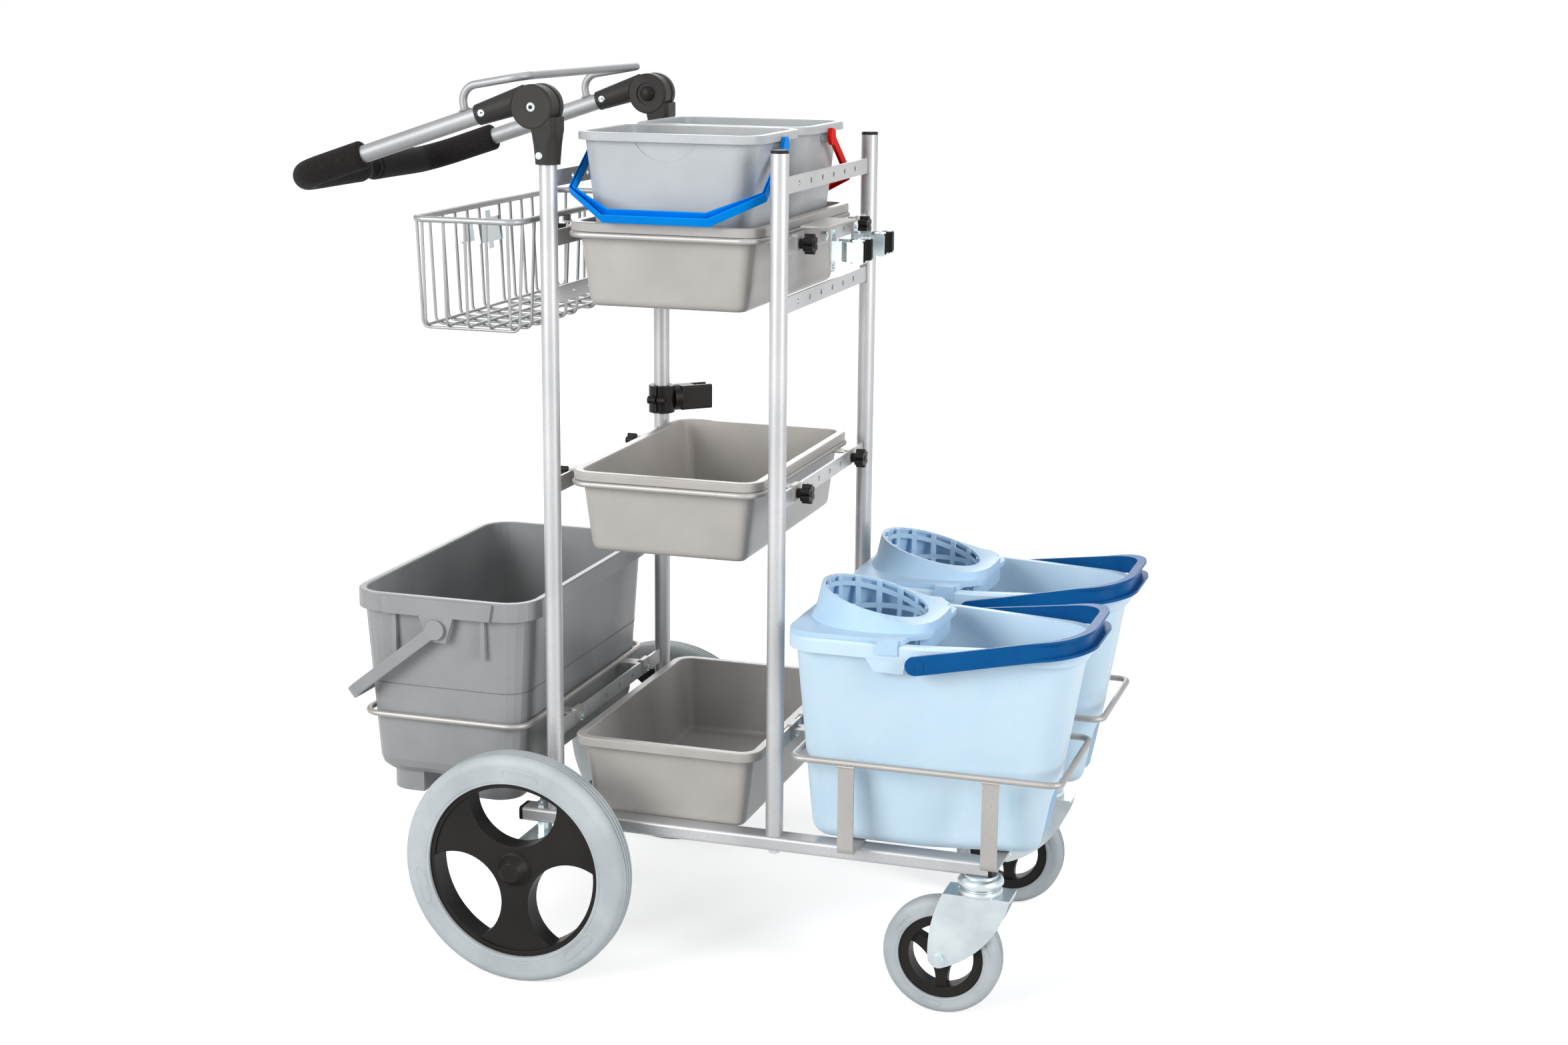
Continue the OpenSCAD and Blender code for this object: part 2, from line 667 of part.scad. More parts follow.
module caster_axle(s) color(zinc) at_caster_axle(s) {
    cylinder(d = caster_bolt_d, h = 2 * (fork_in + fork_t + bolt_head), center = true);
    for (t = [-1, 1]) translate([0, 0, t * (fork_in + fork_t + bolt_head / 2)])
        cylinder(d = bolt_hex, h = bolt_head, center = true, $fn = 6);
}

caster_rim_r = caster_d / 2 - caster_tyre_h;
caster_spoke = 14;
caster_web = 16.5;
module caster_rim(s) color(black) at_caster_axle(s) difference() {
    union() {
        rotate_extrude() translate([caster_rim_r - rim_band, -caster_w * 0.4])
            square([rim_band - run, caster_w * 0.8]);
        linear_extrude(caster_w * 0.5, center = true)
            spoke_web(caster_rim_r - rim_band, caster_spoke, caster_web);
        cylinder(r = caster_spoke, h = 2 * (fork_in - seat), center = true);
    }
    cylinder(d = caster_bolt_d + 2 * run, h = caster_d, center = true);
}

module caster_tyre(s) color(tyre_grey) at_caster_axle(s)
    rotate_extrude() tyre_section(caster_d / 2, caster_tyre_h, caster_w, 10);

// Holders of bent rod

// Saddle hook over a bar at bar_x, with a leaf back to the rod and room for a nut under the
// leaf; dir points away from the rod
nut_room = 7;
module saddle(bar_x, dir, top, rod_x, rod_z, y, bore, nut_d)
    translate([bar_x, y, 0]) mirror([dir < 0 ? 1 : 0, 0, 0]) difference() {
        half = bar_t / 2;
        rotate([90, 0, 0]) linear_extrude(hook_w, center = true) {
            translate([-half - sheet_t, top - hook_depth]) square([sheet_t, hook_depth + sheet_t]);
            translate([-half - sheet_t, top]) square([bar_t + 2 * sheet_t, sheet_t]);
            translate([half, top - hook_depth]) square([sheet_t, hook_depth + sheet_t]);
            translate([-abs(bar_x - rod_x), rod_z - sheet_t / 2])
                square([abs(bar_x - rod_x) - half, sheet_t]);
        }
        translate([0, 0, top - bar_h / 2]) rotate([0, 90, 0]) {
            cylinder(d = bore, h = 4 * (bar_t + sheet_t), center = true);
            translate([0, 0, -half - sheet_t - nut_room]) cylinder(d = nut_d, h = nut_room);
        }
    }

tray_rod_drop = 2;
screw_hole = screw_d + 2 * run;
holder_hole = holder_bolt_d + 2 * run;
nut_hole = 2 * holder_bolt_d + 1;
ring_bend = 24;
ring_half = tray_half - [tray_wall / 2 + 1, tray_wall / 2 + 1];
module tray_holders() color(paint) cart() for (top = [mid_bar, tray_bar]) {
    z = top - tray_rod_drop;
    bent(ring_path([tray_x, 0], ring_half, z), rod_d, ring_bend, closed = true);
    for (y = [-knob_y, knob_y]) {
        saddle(post_pitch_x, 1, top, tray_x + ring_half.x, z, y, screw_hole, screw_hole);
        saddle(0, -1, top, tray_x - ring_half.x, z, y, screw_hole, screw_hole);
    }
}

rear_base = [rear_rim_x / 2 - 23, rear_rim_y / 2 - 15];
rear_rim = [rear_rim_x / 2, rear_rim_y / 2];
rear_lip = 7;
rear_wall = 3;
rear_edge = 20;
rear_skirt = 24;
rear_z0 = rear_rim_z - rear_h;
rear_ring_half = tub_wall_at(rear_base, rear_rim, rear_lip, rear_h, rear_wall, rear_edge,
    rear_ring_z + rod_d / 2 - rear_z0) + [1, 1] * (rod_d / 2 + seat);
module rear_bucket_holder() color(paint) cart() {
    bent(ring_path([-rear_back, 0], rear_ring_half, rear_ring_z), rod_d, ring_bend, closed = true);
    for (y = [-knob_y, knob_y])
        saddle(0, 1, low_bar_rear, -rear_back + rear_ring_half.x, rear_ring_z, y, holder_hole, nut_hole);
}

mop_x0 = post_pitch_x + mop_ahead;
mop_x1 = mop_x0 + mop_len;
front_ring_in = 11;
front_ring_bend = 14;
front_ring_x0 = mop_x0 + front_ring_in;
front_ring_x1 = mop_x1 - front_ring_in - rod_d / 2;
front_ring_half = mop_half_w - 10;
strap_rear = 81;
strap_front = 260;
strap_bend = 8;
strap_x = [mop_x0 + strap_rear, mop_x0 + strap_front];
strap_half = mop_off + front_ring_half + strap_t / 2;
module front_bucket_holder() color(paint) cart() {
    for (s = [-1, 1])
        bent(ring_path([(front_ring_x0 + front_ring_x1) / 2, s * mop_off],
            [(front_ring_x1 - front_ring_x0) / 2, front_ring_half], front_ring_z),
            rod_d, front_ring_bend, closed = true);
    rise = front_ring_z - rail_top;
    for (x = strap_x) translate([x, 0, front_ring_z]) rotate([90, 0, 90])
        linear_extrude(strap_w, center = true) difference() {
            round_rect([2 * strap_half, 2 * rise], strap_bend);
            round_rect([2 * (strap_half - strap_t), 2 * (rise - strap_t)], strap_bend - strap_t);
            translate([-2 * strap_half, -rod_d / 4]) square([4 * strap_half, 2 * rise]);
        }
    for (y = [-2.5, -1.5, 1.5, 2.5] * hole_pitch)
        saddle(post_pitch_x, -1, low_bar_front, front_ring_x0, front_ring_z, y, holder_hole, nut_hole);
}

// Star knobs

knob_stub = 6;
module star_knob(front, top, y) color(black) cart()
    translate([front ? post_pitch_x : 0, y, top - bar_h / 2])
        mirror([front ? 0 : 1, 0, 0]) rotate([0, 90, 0]) {
        face = bar_t / 2 + sheet_t + seat;
        lobe = knob_d / 6;
        translate([0, 0, -face - 4]) cylinder(d = screw_d, h = face + 5 + face);
        translate([0, 0, face]) cylinder(r = knob_d / 4, h = knob_stub);
        translate([0, 0, face + knob_stub]) linear_extrude(knob_t) {
            circle(knob_d / 2 - lobe);
            for (a = [0:60:300]) rotate(a) translate([knob_d / 2 - lobe, 0]) circle(lobe);
        }
        translate([0, 0, face + knob_stub]) cylinder(r = knob_d / 6, h = knob_t + 0.8);
    }

// Tool clips

tab_x = post_pitch_x + tab_ahead;
tab_w = 18;
tab_ys = [-2.2 * hole_pitch, -0.22 * hole_pitch];
bracket_rise = 11;
tab_drop = 44;
bracket_top = tray_bar + bracket_rise;
module clip_bracket() color(paint) cart() difference() {
    union() {
        back = post_pitch_x + bar_t / 2;
        low = tray_bar - bar_h + sheet_t;
        translate([back, -2 * hole_pitch, low]) cube([sheet_t, 2 * hole_pitch, bracket_top - low]);
        translate([back, tab_ys[0] - tab_w / 2, bracket_top - sheet_t])
            cube([tab_x - back, tab_ys[1] - tab_ys[0] + tab_w, sheet_t]);
        for (y = tab_ys) translate([tab_x - sheet_t, y - tab_w / 2, tray_bar - tab_drop])
            cube([sheet_t, tab_w, bracket_rise + tab_drop]);
    }
    for (y = bracket_bolts * hole_pitch) translate([post_pitch_x, y, tray_bar - bar_h / 2])
        rotate([0, 90, 0]) cylinder(d = holder_hole, h = tab_ahead, center = true);
}

roller_x = 37;
clip_sheet = 1.5;
arm_y = roller_gap / 2 + roller_d / 2 + 2;

// Outline of a bent sheet of thickness t along a path, with mitred bends
function side_step(p, q) = let (d = unit(q - p)) [-d.y, d.x];
function mitre(pts, i, t) = let (
    m = len(pts),
    n0 = i == 0 ? side_step(pts[0], pts[1]) : side_step(pts[i - 1], pts[i]),
    n1 = i == m - 1 ? n0 : side_step(pts[i], pts[i + 1]))
    t / 2 * (n0 + n1) / (1 + n0 * n1);
function band(pts, t) = let (m = len(pts)) concat(
    [for (i = [0:m - 1]) pts[i] + mitre(pts, i, t)],
    [for (i = [m - 1:-1:0]) pts[i] - mitre(pts, i, t)]);

// Spring clip on the plane x = 0, open towards +X: a riveted back plate, two bent arms and,
// at the end of each arm, a taller flag with two leaves that hold the pin of a roller
clip_back = [16, 50];
clip_rivet = [7, 1.8];
rivet_z = 20;
arm_h = 24;
clip_foot = 14;
flag_t = clip_sheet + 0.4;
leaf_z = roller_h / 2 + seat;
module spring_clip() {
    translate([0, -clip_back.x / 2, -clip_back.y / 2]) cube([clip_sheet, clip_back.x, clip_back.y]);
    translate([0, 3 - clip_foot, -arm_h / 2]) cube([clip_sheet, 2 * clip_foot - 6, arm_h]);
    for (z = [-rivet_z, rivet_z]) translate([clip_sheet / 2, 0, z]) rotate([0, 90, 0])
        cylinder(d = clip_rivet[0], h = clip_sheet / 2 + clip_rivet[1]);
    for (s = [-1, 1]) mirror([0, s < 0 ? 1 : 0, 0]) {
        linear_extrude(arm_h, center = true)
            polygon(band([[clip_sheet / 2, clip_foot - 4], [3, clip_foot], [roller_x - 21, clip_foot],
                [roller_x - 12, arm_y], [roller_x + 8, arm_y]], clip_sheet));
        translate([roller_x + 1.5, arm_y, 0]) cube([11, flag_t, 2 * leaf_z + 2.6], center = true);
        for (z = [-leaf_z - clip_sheet, leaf_z]) translate([roller_x - 6, roller_gap / 2 - 4, z])
            cube([12, arm_y - roller_gap / 2 + 4, clip_sheet]);
        translate([roller_x, roller_gap / 2, 0]) cylinder(d = 4, h = roller_h + 6, center = true);
    }
}

// Two rubber sleeves with ribs along their pins
roller_ribs = 12;
rib = 1.6;
roller_bore = 4.2;
module clip_roller_pair() for (s = [-1, 1]) translate([roller_x, s * roller_gap / 2, 0])
    linear_extrude(roller_h, center = true) difference() {
        union() {
            circle(d = roller_d - rib);
            for (k = [0:roller_ribs - 1]) rotate(k * 360 / roller_ribs)
                translate([0, -rib / 2]) square([roller_d / 2, rib]);
        }
        circle(d = roller_bore);
    }

clip_drop = 17;
clip_z = tray_bar - clip_drop;
module clip_springs() color(zinc) cart() for (y = tab_ys) translate([tab_x, y, clip_z]) spring_clip();

module clip_rollers() color(black) cart() for (y = tab_ys) translate([tab_x, y, clip_z]) clip_roller_pair();

// Tool clamp on the far rear post

clamp_h = 38;
clamp_r = post_d / 2 + 7;
clamp_turn = 45;
clamp_disc = clamp_r + 7;
jaw_pin = 8;
module tool_clamp_collar() color(black) cart() translate([0, post_y, clamp_z]) difference() {
    union() {
        cylinder(r = clamp_r, h = clamp_h, center = true);
        rotate([0, 90, 0]) translate([0, -clamp_r - 1, 0]) cylinder(d = 11, h = 26, center = true);
        rotate([0, 90, clamp_turn]) translate([0, 0, post_d / 2 + 3])
            cylinder(r = clamp_h / 2 - 1, h = clamp_disc - post_d / 2 - 3);
    }
    cylinder(d = post_d + 2 * run, h = 2 * clamp_h, center = true);
    translate([-1.5, -2 * clamp_r, -clamp_h]) cube([3, 2 * clamp_r, 2 * clamp_h]);
    rotate([0, 90, 0]) translate([0, -clamp_r - 1, 0]) cylinder(d = 4, h = 60, center = true);
    rotate([0, 90, clamp_turn]) translate([0, 0, clamp_disc - jaw_pin])
        cylinder(d = jaw_pin + 2 * run, h = jaw_pin + 1);
}

module tool_clamp_jaw() color(black) cart() translate([0, post_y, clamp_z]) rotate([0, 90, clamp_turn]) {
    difference() {
        translate([0, 0, clamp_disc + seat]) linear_extrude(46) round_rect([clamp_h - 4, 28], 3);
        translate([-clamp_h, -7, clamp_disc + 22]) cube([2 * clamp_h, 14, 40]);
    }
    translate([0, 0, clamp_disc - jaw_pin + seat]) cylinder(d = jaw_pin, h = jaw_pin + 1);
}

// Push handle

// Frames that turn with the arms and with the rack, with the pivot axis as their Y axis
module at_slope(angle) translate([pivot_x, 0, pivot_z]) rotate([0, -angle, 0]) children();

// Axis of the hinge, along +Y
module at_pivot() translate([pivot_x, -post_y, pivot_z]) rotate([-90, 0, 0]) children();

// Disc about the Z axis with rounded edges
module rounded_disc(r, h, edge) rotate_extrude() {
    translate([0, -h / 2]) square([r - edge, h]);
    translate([0, edge - h / 2]) square([r, h - 2 * edge]);
    for (s = [-1, 1]) translate([r - edge, s * (h / 2 - edge)]) circle(edge);
}

// Moulded hinge body: a forked disc on a neck that narrows down to a collar round the post,
// with a round recess for the pivot button on its inner side
hinge_edge = 3;
neck_round = 7;
neck_sink = 12;
collar_h = 34;
recess_r = 15;
recess_t = 2;
module handle_joints() color(black) cart() both_sides() difference() {
    neck_low = rear_post_top - collar_h;
    neck_high = pivot_z - neck_sink;
    collar = neck_d - 2;
    union() {
        translate([0, -post_y, 0]) intersection() {
            translate([0, 0, neck_low]) linear_extrude(neck_high - neck_low)
                round_rect([neck_d, 2 * hinge_half - 2], neck_round);
            rotate([90, 0, 90]) linear_extrude(2 * neck_d, center = true)
                polygon([[-collar / 2, neck_low - 1], [collar / 2, neck_low - 1],
                    [hinge_half, neck_high + 1], [-hinge_half, neck_high + 1]]);
        }
        at_pivot() rounded_disc(hinge_r, 2 * hinge_half, hinge_edge);
    }
    at_pivot() {
        cylinder(r = hinge_r + 1.5, h = 2 * (tongue_half + seat), center = true);
        cylinder(d = pin_d + 2 * run, h = 4 * hinge_half, center = true);
        translate([0, 0, hinge_half - recess_t]) cylinder(r = recess_r, h = 2 * recess_t);
    }
    translate([0, -post_y, neck_low - 1]) cylinder(d = post_d + 2 * run, h = rear_post_top - neck_low + 1);
}

// Pivot pin with a domed button in the recess
button_r = 10;
button_dome = 18;
module handle_pivots() color(black) cart() both_sides() at_pivot() {
    translate([0, 0, -hinge_half - 1]) cylinder(d = pin_d, h = 2 * hinge_half);
    translate([0, 0, hinge_half - recess_t]) intersection() {
        cylinder(r = button_r, h = 2 * button_r);
        translate([0, 0, 2 * recess_t + 1 - button_dome]) sphere(button_dome);
    }
}

// Moulded sockets: a tongue in the fork of the hinge and a tapered sleeve over the arm tube
socket_root_d = arm_d + 12;
socket_d = arm_d + 4;
socket_end = 78;
socket_start = 10;
tube_start = hinge_r + 14;
tongue_h = 24;
module arm_socket() difference() {
    union() {
        difference() {
            translate([-socket_start, 0, arm_rise]) rotate([0, -90, 0])
                cylinder(d1 = socket_root_d, d2 = socket_d, h = socket_end - socket_start);
            rotate([90, 0, 0]) cylinder(r = hinge_r + 1.3, h = 4 * hinge_half, center = true);
        }
        rotate([90, 0, 0]) cylinder(r = hinge_r - 1, h = 2 * tongue_half, center = true);
        translate([-tube_start, -tongue_half, arm_rise - tongue_h / 2])
            cube([tube_start, 2 * tongue_half, tongue_h]);
    }
    translate([1 - tube_start, 0, arm_rise]) rotate([0, -90, 0])
        cylinder(d = arm_d + 2 * run, h = socket_end);
    rotate([90, 0, 0]) cylinder(d = pin_d + 2 * run, h = 4 * hinge_half, center = true);
}

module arm_sockets()
    color(black) cart() at_slope(arm_angle) both_sides() translate([0, -post_y, 0]) arm_socket();

grip_end = grip_gap / 2 + plug_t;
function arm_path(u, s) =
    [for (p = [[u, post_y], [arm_reach, post_y], [arm_reach, grip_end]]) [-p.x, s * p.y, arm_rise]];

// Two bent tubes, joined by the rack rod that is welded on top of them
rack_bend = 20;
module handle_frame() color(paint) cart() {
    at_slope(arm_angle) for (s = [-1, 1])
        bent_tube(arm_path(tube_start, s), arm_d, arm_bend, arm_d - 2 * tube_wall);
    slope = arm_angle - rack_angle;
    foot_x = -rack_back - rack_len;
    foot_z = (arm_rise + arm_d / 2) / cos(slope) + foot_x * tan(slope) - weld;
    at_slope(rack_angle) bent([[foot_x, -post_y, foot_z], [foot_x, -post_y, rack_rise],
        [-rack_back, -post_y, rack_rise], [-rack_back, post_y, rack_rise],
        [foot_x, post_y, rack_rise], [foot_x, post_y, foot_z]], rack_d, rack_bend);
}

module foam_grips() color("#1B1918") cart() at_slope(arm_angle) for (s = [-1, 1])
    bent_tube(arm_path(foam_start, s), foam_d, arm_bend, arm_d + 2 * run);

module grip_plugs() color(black) cart() at_slope(arm_angle) both_sides()
    translate([-arm_reach, -grip_end, arm_rise]) rotate([-90, 0, 0]) {
        cylinder(d = foam_d - 3, h = plug_t);
        translate([0, 0, -15]) cylinder(d = arm_d - 2 * (tube_wall + run), h = 15);
    }

// Trays

module tray(z) color(tray_grey) cart() translate([tray_x, 0, z])
    tub(tray_base, tray_half, tray_h, tray_corner, tray_edge, tray_wall, tray_lip, tray_skirt);

hung_tray = rod_d / 2 - tray_rod_drop + seat + tray_skirt - tray_h;
// The bottom tray nests between the rails on their rounded inner edges
rail_edge_y = rail_y - rail_w / 2 + rail_corner;
low_tray_z = rail_top - rail_corner - tray_edge
    + sqrt(pow(rail_corner + tray_edge + seat, 2) - pow(rail_edge_y - tray_base.y + tray_edge, 2));
module top_tray() tray(tray_bar + hung_tray);
module mid_tray() tray(mid_bar + hung_tray);
module bottom_tray() tray(low_tray_z);

// Small buckets with bails

small_draw = [30, 20];
small_rim = [small_rim_x / 2, small_rim_y / 2];
small_base = small_rim - small_draw;
small_lip = 8;
small_wall = 2.5;
small_corner = 34;
small_edge = 10;
small_skirt = 10;
small_pivot_drop = 16;
small_z = tray_bar + hung_tray + tray_wall + seat;
small_pivot_z = small_z + small_h - small_pivot_drop;
ear_gap = 1;
boss_r = 8;
bail_pin_d = 8;

// Shallow crescent under the rim of each long wall, where fingers take the bail
crescent_r = 46;
crescent_low = 34;
crescent_t = 1.1;
module crescents() {
    lean = atan((small_draw.y - small_lip) / (small_h - small_edge));
    both_sides() translate([0, -small_rim.y + small_lip + crescent_t, small_h]) rotate([lean, 0, 0])
        translate([0, 0, crescent_r - crescent_low]) rotate([90, 0, 0]) intersection() {
            cylinder(r = crescent_r, h = 2 * small_lip);
            translate([-crescent_r, -crescent_r, 0])
                cube([2 * crescent_r, crescent_low - small_skirt - 2, small_lip]);
        }
}

module small_bucket(s) color(bucket_grey) cart() translate([tray_x, s * small_off, small_z]) difference() {
    union() {
        difference() {
            tub(small_base, small_rim, small_h, small_corner, small_edge, small_wall, small_lip, small_skirt);
            crescents();
        }
        for (t = [-1, 1]) translate([t * (small_rim.x - small_lip - 1.5), 0, small_h - small_pivot_drop])
            rotate([0, 90 * t, 0]) cylinder(r = boss_r, h = small_lip + 1.5);
    }
    for (t = [-1, 1]) translate([t * (small_rim.x + 1), 0, small_h - small_pivot_drop])
        rotate([0, -90 * t, 0]) cylinder(d = bail_pin_d + 2 * run, h = small_lip + 1);
}

// Bail in its own plane: the pivot axis is X, the strap runs to +Y, channel side down
bail_t = 5;
bail_h = 12;
bail_skin = 1.5;
bail_grip_w = 12;
small_ear_r = 11;
small_ear = small_rim.x + ear_gap;
small_elbow = small_bail_reach - 50;
grip_half = 68;
grip_pockets = 5;
pocket_pitch = 24;
pocket = [15, 4];
function small_bail_line(x, elbow, grip, y) = concat(
    [[-x, -small_ear_r], [-x, elbow], [-grip, y]], [[grip, y], [x, elbow], [x, -small_ear_r]]);

// Strap outline drawn in by g from its outer face
function small_bail_outer(g) = small_bail_line(small_ear + bail_t - g, small_elbow - g / 3,
    grip_half - g * 0.6, small_bail_reach - g * 1.3);
function small_bail_inner(g) = small_bail_line(small_ear + g, small_elbow - 2 - g / 3,
    grip_half - bail_grip_w / 2 + g * 0.6, small_bail_reach - bail_grip_w + g * 0.7);

module flat_small_bail() {
    difference() {
        linear_extrude(bail_h, center = true) difference() {
            polygon(small_bail_outer(0));
            translate([0, -1]) polygon(small_bail_inner(0));
        }
        translate([0, 0, -bail_h / 2 - 1]) linear_extrude(bail_h - 2) difference() {
            polygon(small_bail_outer(bail_skin));
            polygon(small_bail_inner(bail_skin));
            square([4 * small_ear, 5 * small_ear_r], center = true);
        }
        for (k = [0:grip_pockets - 1]) {
            x = (k - (grip_pockets - 1) / 2) * pocket_pitch;
            translate([x, small_bail_reach - bail_grip_w / 2, 0])
                cube([pocket.x, pocket.y, 2 * bail_h], center = true);
        }
    }
    for (t = [-1, 1]) translate([t * small_ear, 0, 0]) rotate([0, 90 * t, 0]) {
        cylinder(r = small_ear_r, h = bail_t);
        translate([0, 0, -small_lip]) cylinder(d = bail_pin_d, h = small_lip + 1);
    }
}

module small_bail(s) color(s < 0 ? "#0A84E0" : "#E8231A") cart()
    translate([tray_x, s * small_off, small_pivot_z])
        rotate([s < 0 ? 180 + small_bail_angle : -small_bail_angle, 0, 0]) flat_small_bail();

// Rear bucket with its bail

rear_pivot_drop = 40;
rear_pivot_z = rear_rim_z - rear_pivot_drop;
lug_out = 4;
lug_low = 57;
lug_half = [24, 13];
rim_step_half = 78;
rear_rib = [6, 75];
rear_rib_x = 62;
rear_corner = 44;
rear_ear_r = 13;
foot_in = 14;
foot_size = [52, 56];
foot_sink = 1.9;
module rear_bucket() color(dark_grey) cart() translate([-rear_back, 0, rear_z0]) difference() {
    wall_y = rear_rim.y - rear_lip - 2;
    union() {
        tub(rear_base, rear_rim, rear_h, rear_corner, rear_edge, rear_wall, rear_lip, rear_skirt);
        both_sides() {
            translate([0, -wall_y, rear_h]) rotate([90, 0, 0]) linear_extrude(rear_rim.y + lug_out - wall_y) {
                polygon([[-rim_step_half, -2], [rim_step_half, -2],
                    [rim_step_half - lug_out, -rear_skirt], [lug_out - rim_step_half, -rear_skirt]]);
                polygon([[-lug_half[0], 1 - rear_skirt], [lug_half[0], 1 - rear_skirt],
                    [lug_half[1], -lug_low], [-lug_half[1], -lug_low]]);
            }
            for (x = [-rear_rib_x, rear_rib_x])
                translate([x - rear_rib[0] / 2, -wall_y - rear_lip, rear_h - rear_rib[1]])
                    cube([rear_rib[0], rear_lip + 1, rear_rib[1] - rear_skirt + 1]);
        }
        translate([0, 0, -rear_foot_h]) linear_extrude(rear_foot_h + foot_sink) intersection() {
            round_rect(2 * (rear_base - [foot_in, foot_in]), rear_corner - foot_in);
            for (x = [-1, 1], y = [-1, 1])
                translate([x * (rear_base.x - foot_in), y * (rear_base.y - foot_in)])
                    square(2 * foot_size, center = true);
        }
    }
    both_sides() translate([0, -rear_rim.y - lug_out - 1, rear_pivot_z - rear_z0]) rotate([-90, 0, 0])
        cylinder(d = pin_d + 2 * run, h = rear_lip + 2);
}

rear_ear = rear_rim.y + lug_out + ear_gap;
rear_bail_h = 16;
rear_bail_bend = 40;
module rear_bail() color(dark_grey) cart() translate([-rear_back, 0, rear_pivot_z])
    rotate([0, -rear_bail_angle, 0]) rotate([0, 0, 90]) {
        linear_extrude(rear_bail_h, center = true) difference() {
            round_rect([2 * (rear_ear + bail_t), 2 * rear_bail_reach], rear_bail_bend);
            round_rect([2 * rear_ear, 2 * (rear_bail_reach - bail_t)], rear_bail_bend - bail_t + 1);
            translate([0, -rear_bail_reach]) square([3 * rear_ear, 2 * rear_bail_reach], center = true);
        }
        for (t = [-1, 1]) translate([t * rear_ear, 0, 0]) rotate([0, 90 * t, 0]) {
            cylinder(r = rear_ear_r, h = bail_t);
            translate([0, 0, -rear_lip]) cylinder(d = pin_d, h = rear_lip + 1);
        }
    }

// Mop buckets, seen from above like a boat with a blunt nose

mop_z = rail_top + strap_t;
mop_edge = 22;
mop_lip = 9;
mop_skirt = 18;
mop_corner = 30;
mop_bend = 120;
mop_cut = 28;
mop_facet = 12;
mop_steps = 4;

// Rear end, front end and half widths of the foot and of the body under the rim
mop_base = [mop_x0 + 20, mop_x1 - 44, mop_half_w - 46, mop_front_half - 34];
mop_body = [mop_x0 + mop_lip, mop_x1 - mop_lip, mop_half_w - mop_lip, mop_front_half - mop_lip];
function mop_outline(p, g) = let (
    x0 = p[0] - g,
    x1 = p[1] + g,
    w0 = p[2] + g,
    w1 = p[3] + g,
    bend_x = mop_x0 + mop_pivot,
    cut = mop_cut + g / 2,
    r = max(mop_corner + g, 8),
    edge = max(mop_facet + g / 2, 3))
    rounded([[x0, -w0], [bend_x, -w0], [x1 - cut, -w1], [x1, cut - w1],
        [x1, w1 - cut], [x1 - cut, w1], [bend_x, w0], [x0, w0]],
        [r, mop_bend, edge, edge, edge, edge, mop_bend, r], mop_steps);

arch_half = 24;
arch_h = 92;
arch_depth = 34;
module foot_arch(grow) translate([mop_base[1] - arch_depth - grow, 0, 0]) rotate([90, 0, 90])
    linear_extrude(arch_depth * 4) {
        translate([-arch_half - grow, -arch_half]) square([2 * (arch_half + grow), arch_h]);
        translate([0, arch_h - arch_half]) circle(arch_half + grow);
    }

mop_boss_r = 9;
mop_boss_out = 6;
mop_pivot_drop = 20;
mop_pivot_x = mop_x0 + mop_pivot;
mop_ear = mop_half_w + ear_gap + mop_boss_out;

// Tab that hangs from the rim behind each pivot, under the wringer's hook
apron_h = 17;
apron_t = 3;
apron_top = [-64, -12];
apron_low = [-52, -16];
module apron() translate([mop_pivot_x, apron_t - mop_half_w, mop_h - mop_skirt]) rotate([90, 0, 0])
    linear_extrude(apron_t) polygon([[apron_top[0], 1], [apron_top[1], 1],
        [apron_low[1], -apron_h], [apron_low[0], -apron_h]]);

module mop_bucket(s) color(ice_blue) cart() translate([0, s * mop_off, mop_z]) difference() {
    boss_in = mop_half_w - mop_lip - 1;
    union() {
        difference() {
            loft(concat(
                [for (a = edge_angles) let (g = -mop_edge * (1 - sin(a)))
                    level(mop_outline(mop_base, g), mop_edge * (1 - cos(a)))],
                [level(mop_outline(mop_body, 0), mop_h - mop_skirt),
                 level(mop_outline(mop_body, mop_lip), mop_h - mop_skirt),
                 level(mop_outline(mop_body, mop_lip), mop_h - rim_round),
                 level(mop_outline(mop_body, mop_lip - rim_round), mop_h)]));
            foot_arch(0);
            difference() {
                loft(concat(
                    [for (a = edge_angles) let (g = -(mop_edge - mop_wall) * (1 - sin(a)) - mop_wall)
                        level(mop_outline(mop_base, g), mop_wall + (mop_edge - mop_wall) * (1 - cos(a)))],
                    [level(mop_outline(mop_body, -mop_wall), mop_h + 1)]));
                foot_arch(mop_wall);
            }
        }
        both_sides() {
            translate([mop_pivot_x, -boss_in, mop_h - mop_pivot_drop]) rotate([90, 0, 0])
                cylinder(r = mop_boss_r, h = mop_half_w + mop_boss_out - boss_in);
            apron();
        }
    }
    both_sides() translate([mop_pivot_x, -mop_ear, mop_h - mop_pivot_drop]) rotate([-90, 0, 0])
        cylinder(d = bail_pin_d + 2 * run, h = mop_lip + ear_gap + 2);
}

// Flat strap that follows the rim outline, with a double-flanged grip in front
mop_bail_front = mop_len - mop_pivot + mop_bail_gap;
mop_bail_nose = mop_front_half + 10;
nose_cut = 40;
nose_bend = 30;
strap_end = 20;
flange_t = 3;
grip_in = 26;
module mop_bail_outline(g) {
    x = mop_bail_front + g;
    half = [[-strap_end, mop_ear + g], [10, mop_ear + g], [x - nose_cut, mop_bail_nose + g],
        [x, mop_bail_nose - nose_cut]];
    radii = [1, 2 * nose_bend, nose_bend, nose_bend];
    other = [for (i = [3:-1:0]) [half[i].x, -half[i].y]];
    polygon(rounded(concat(half, other), concat(radii, [for (i = [3:-1:0]) radii[i]]), mop_steps));
}

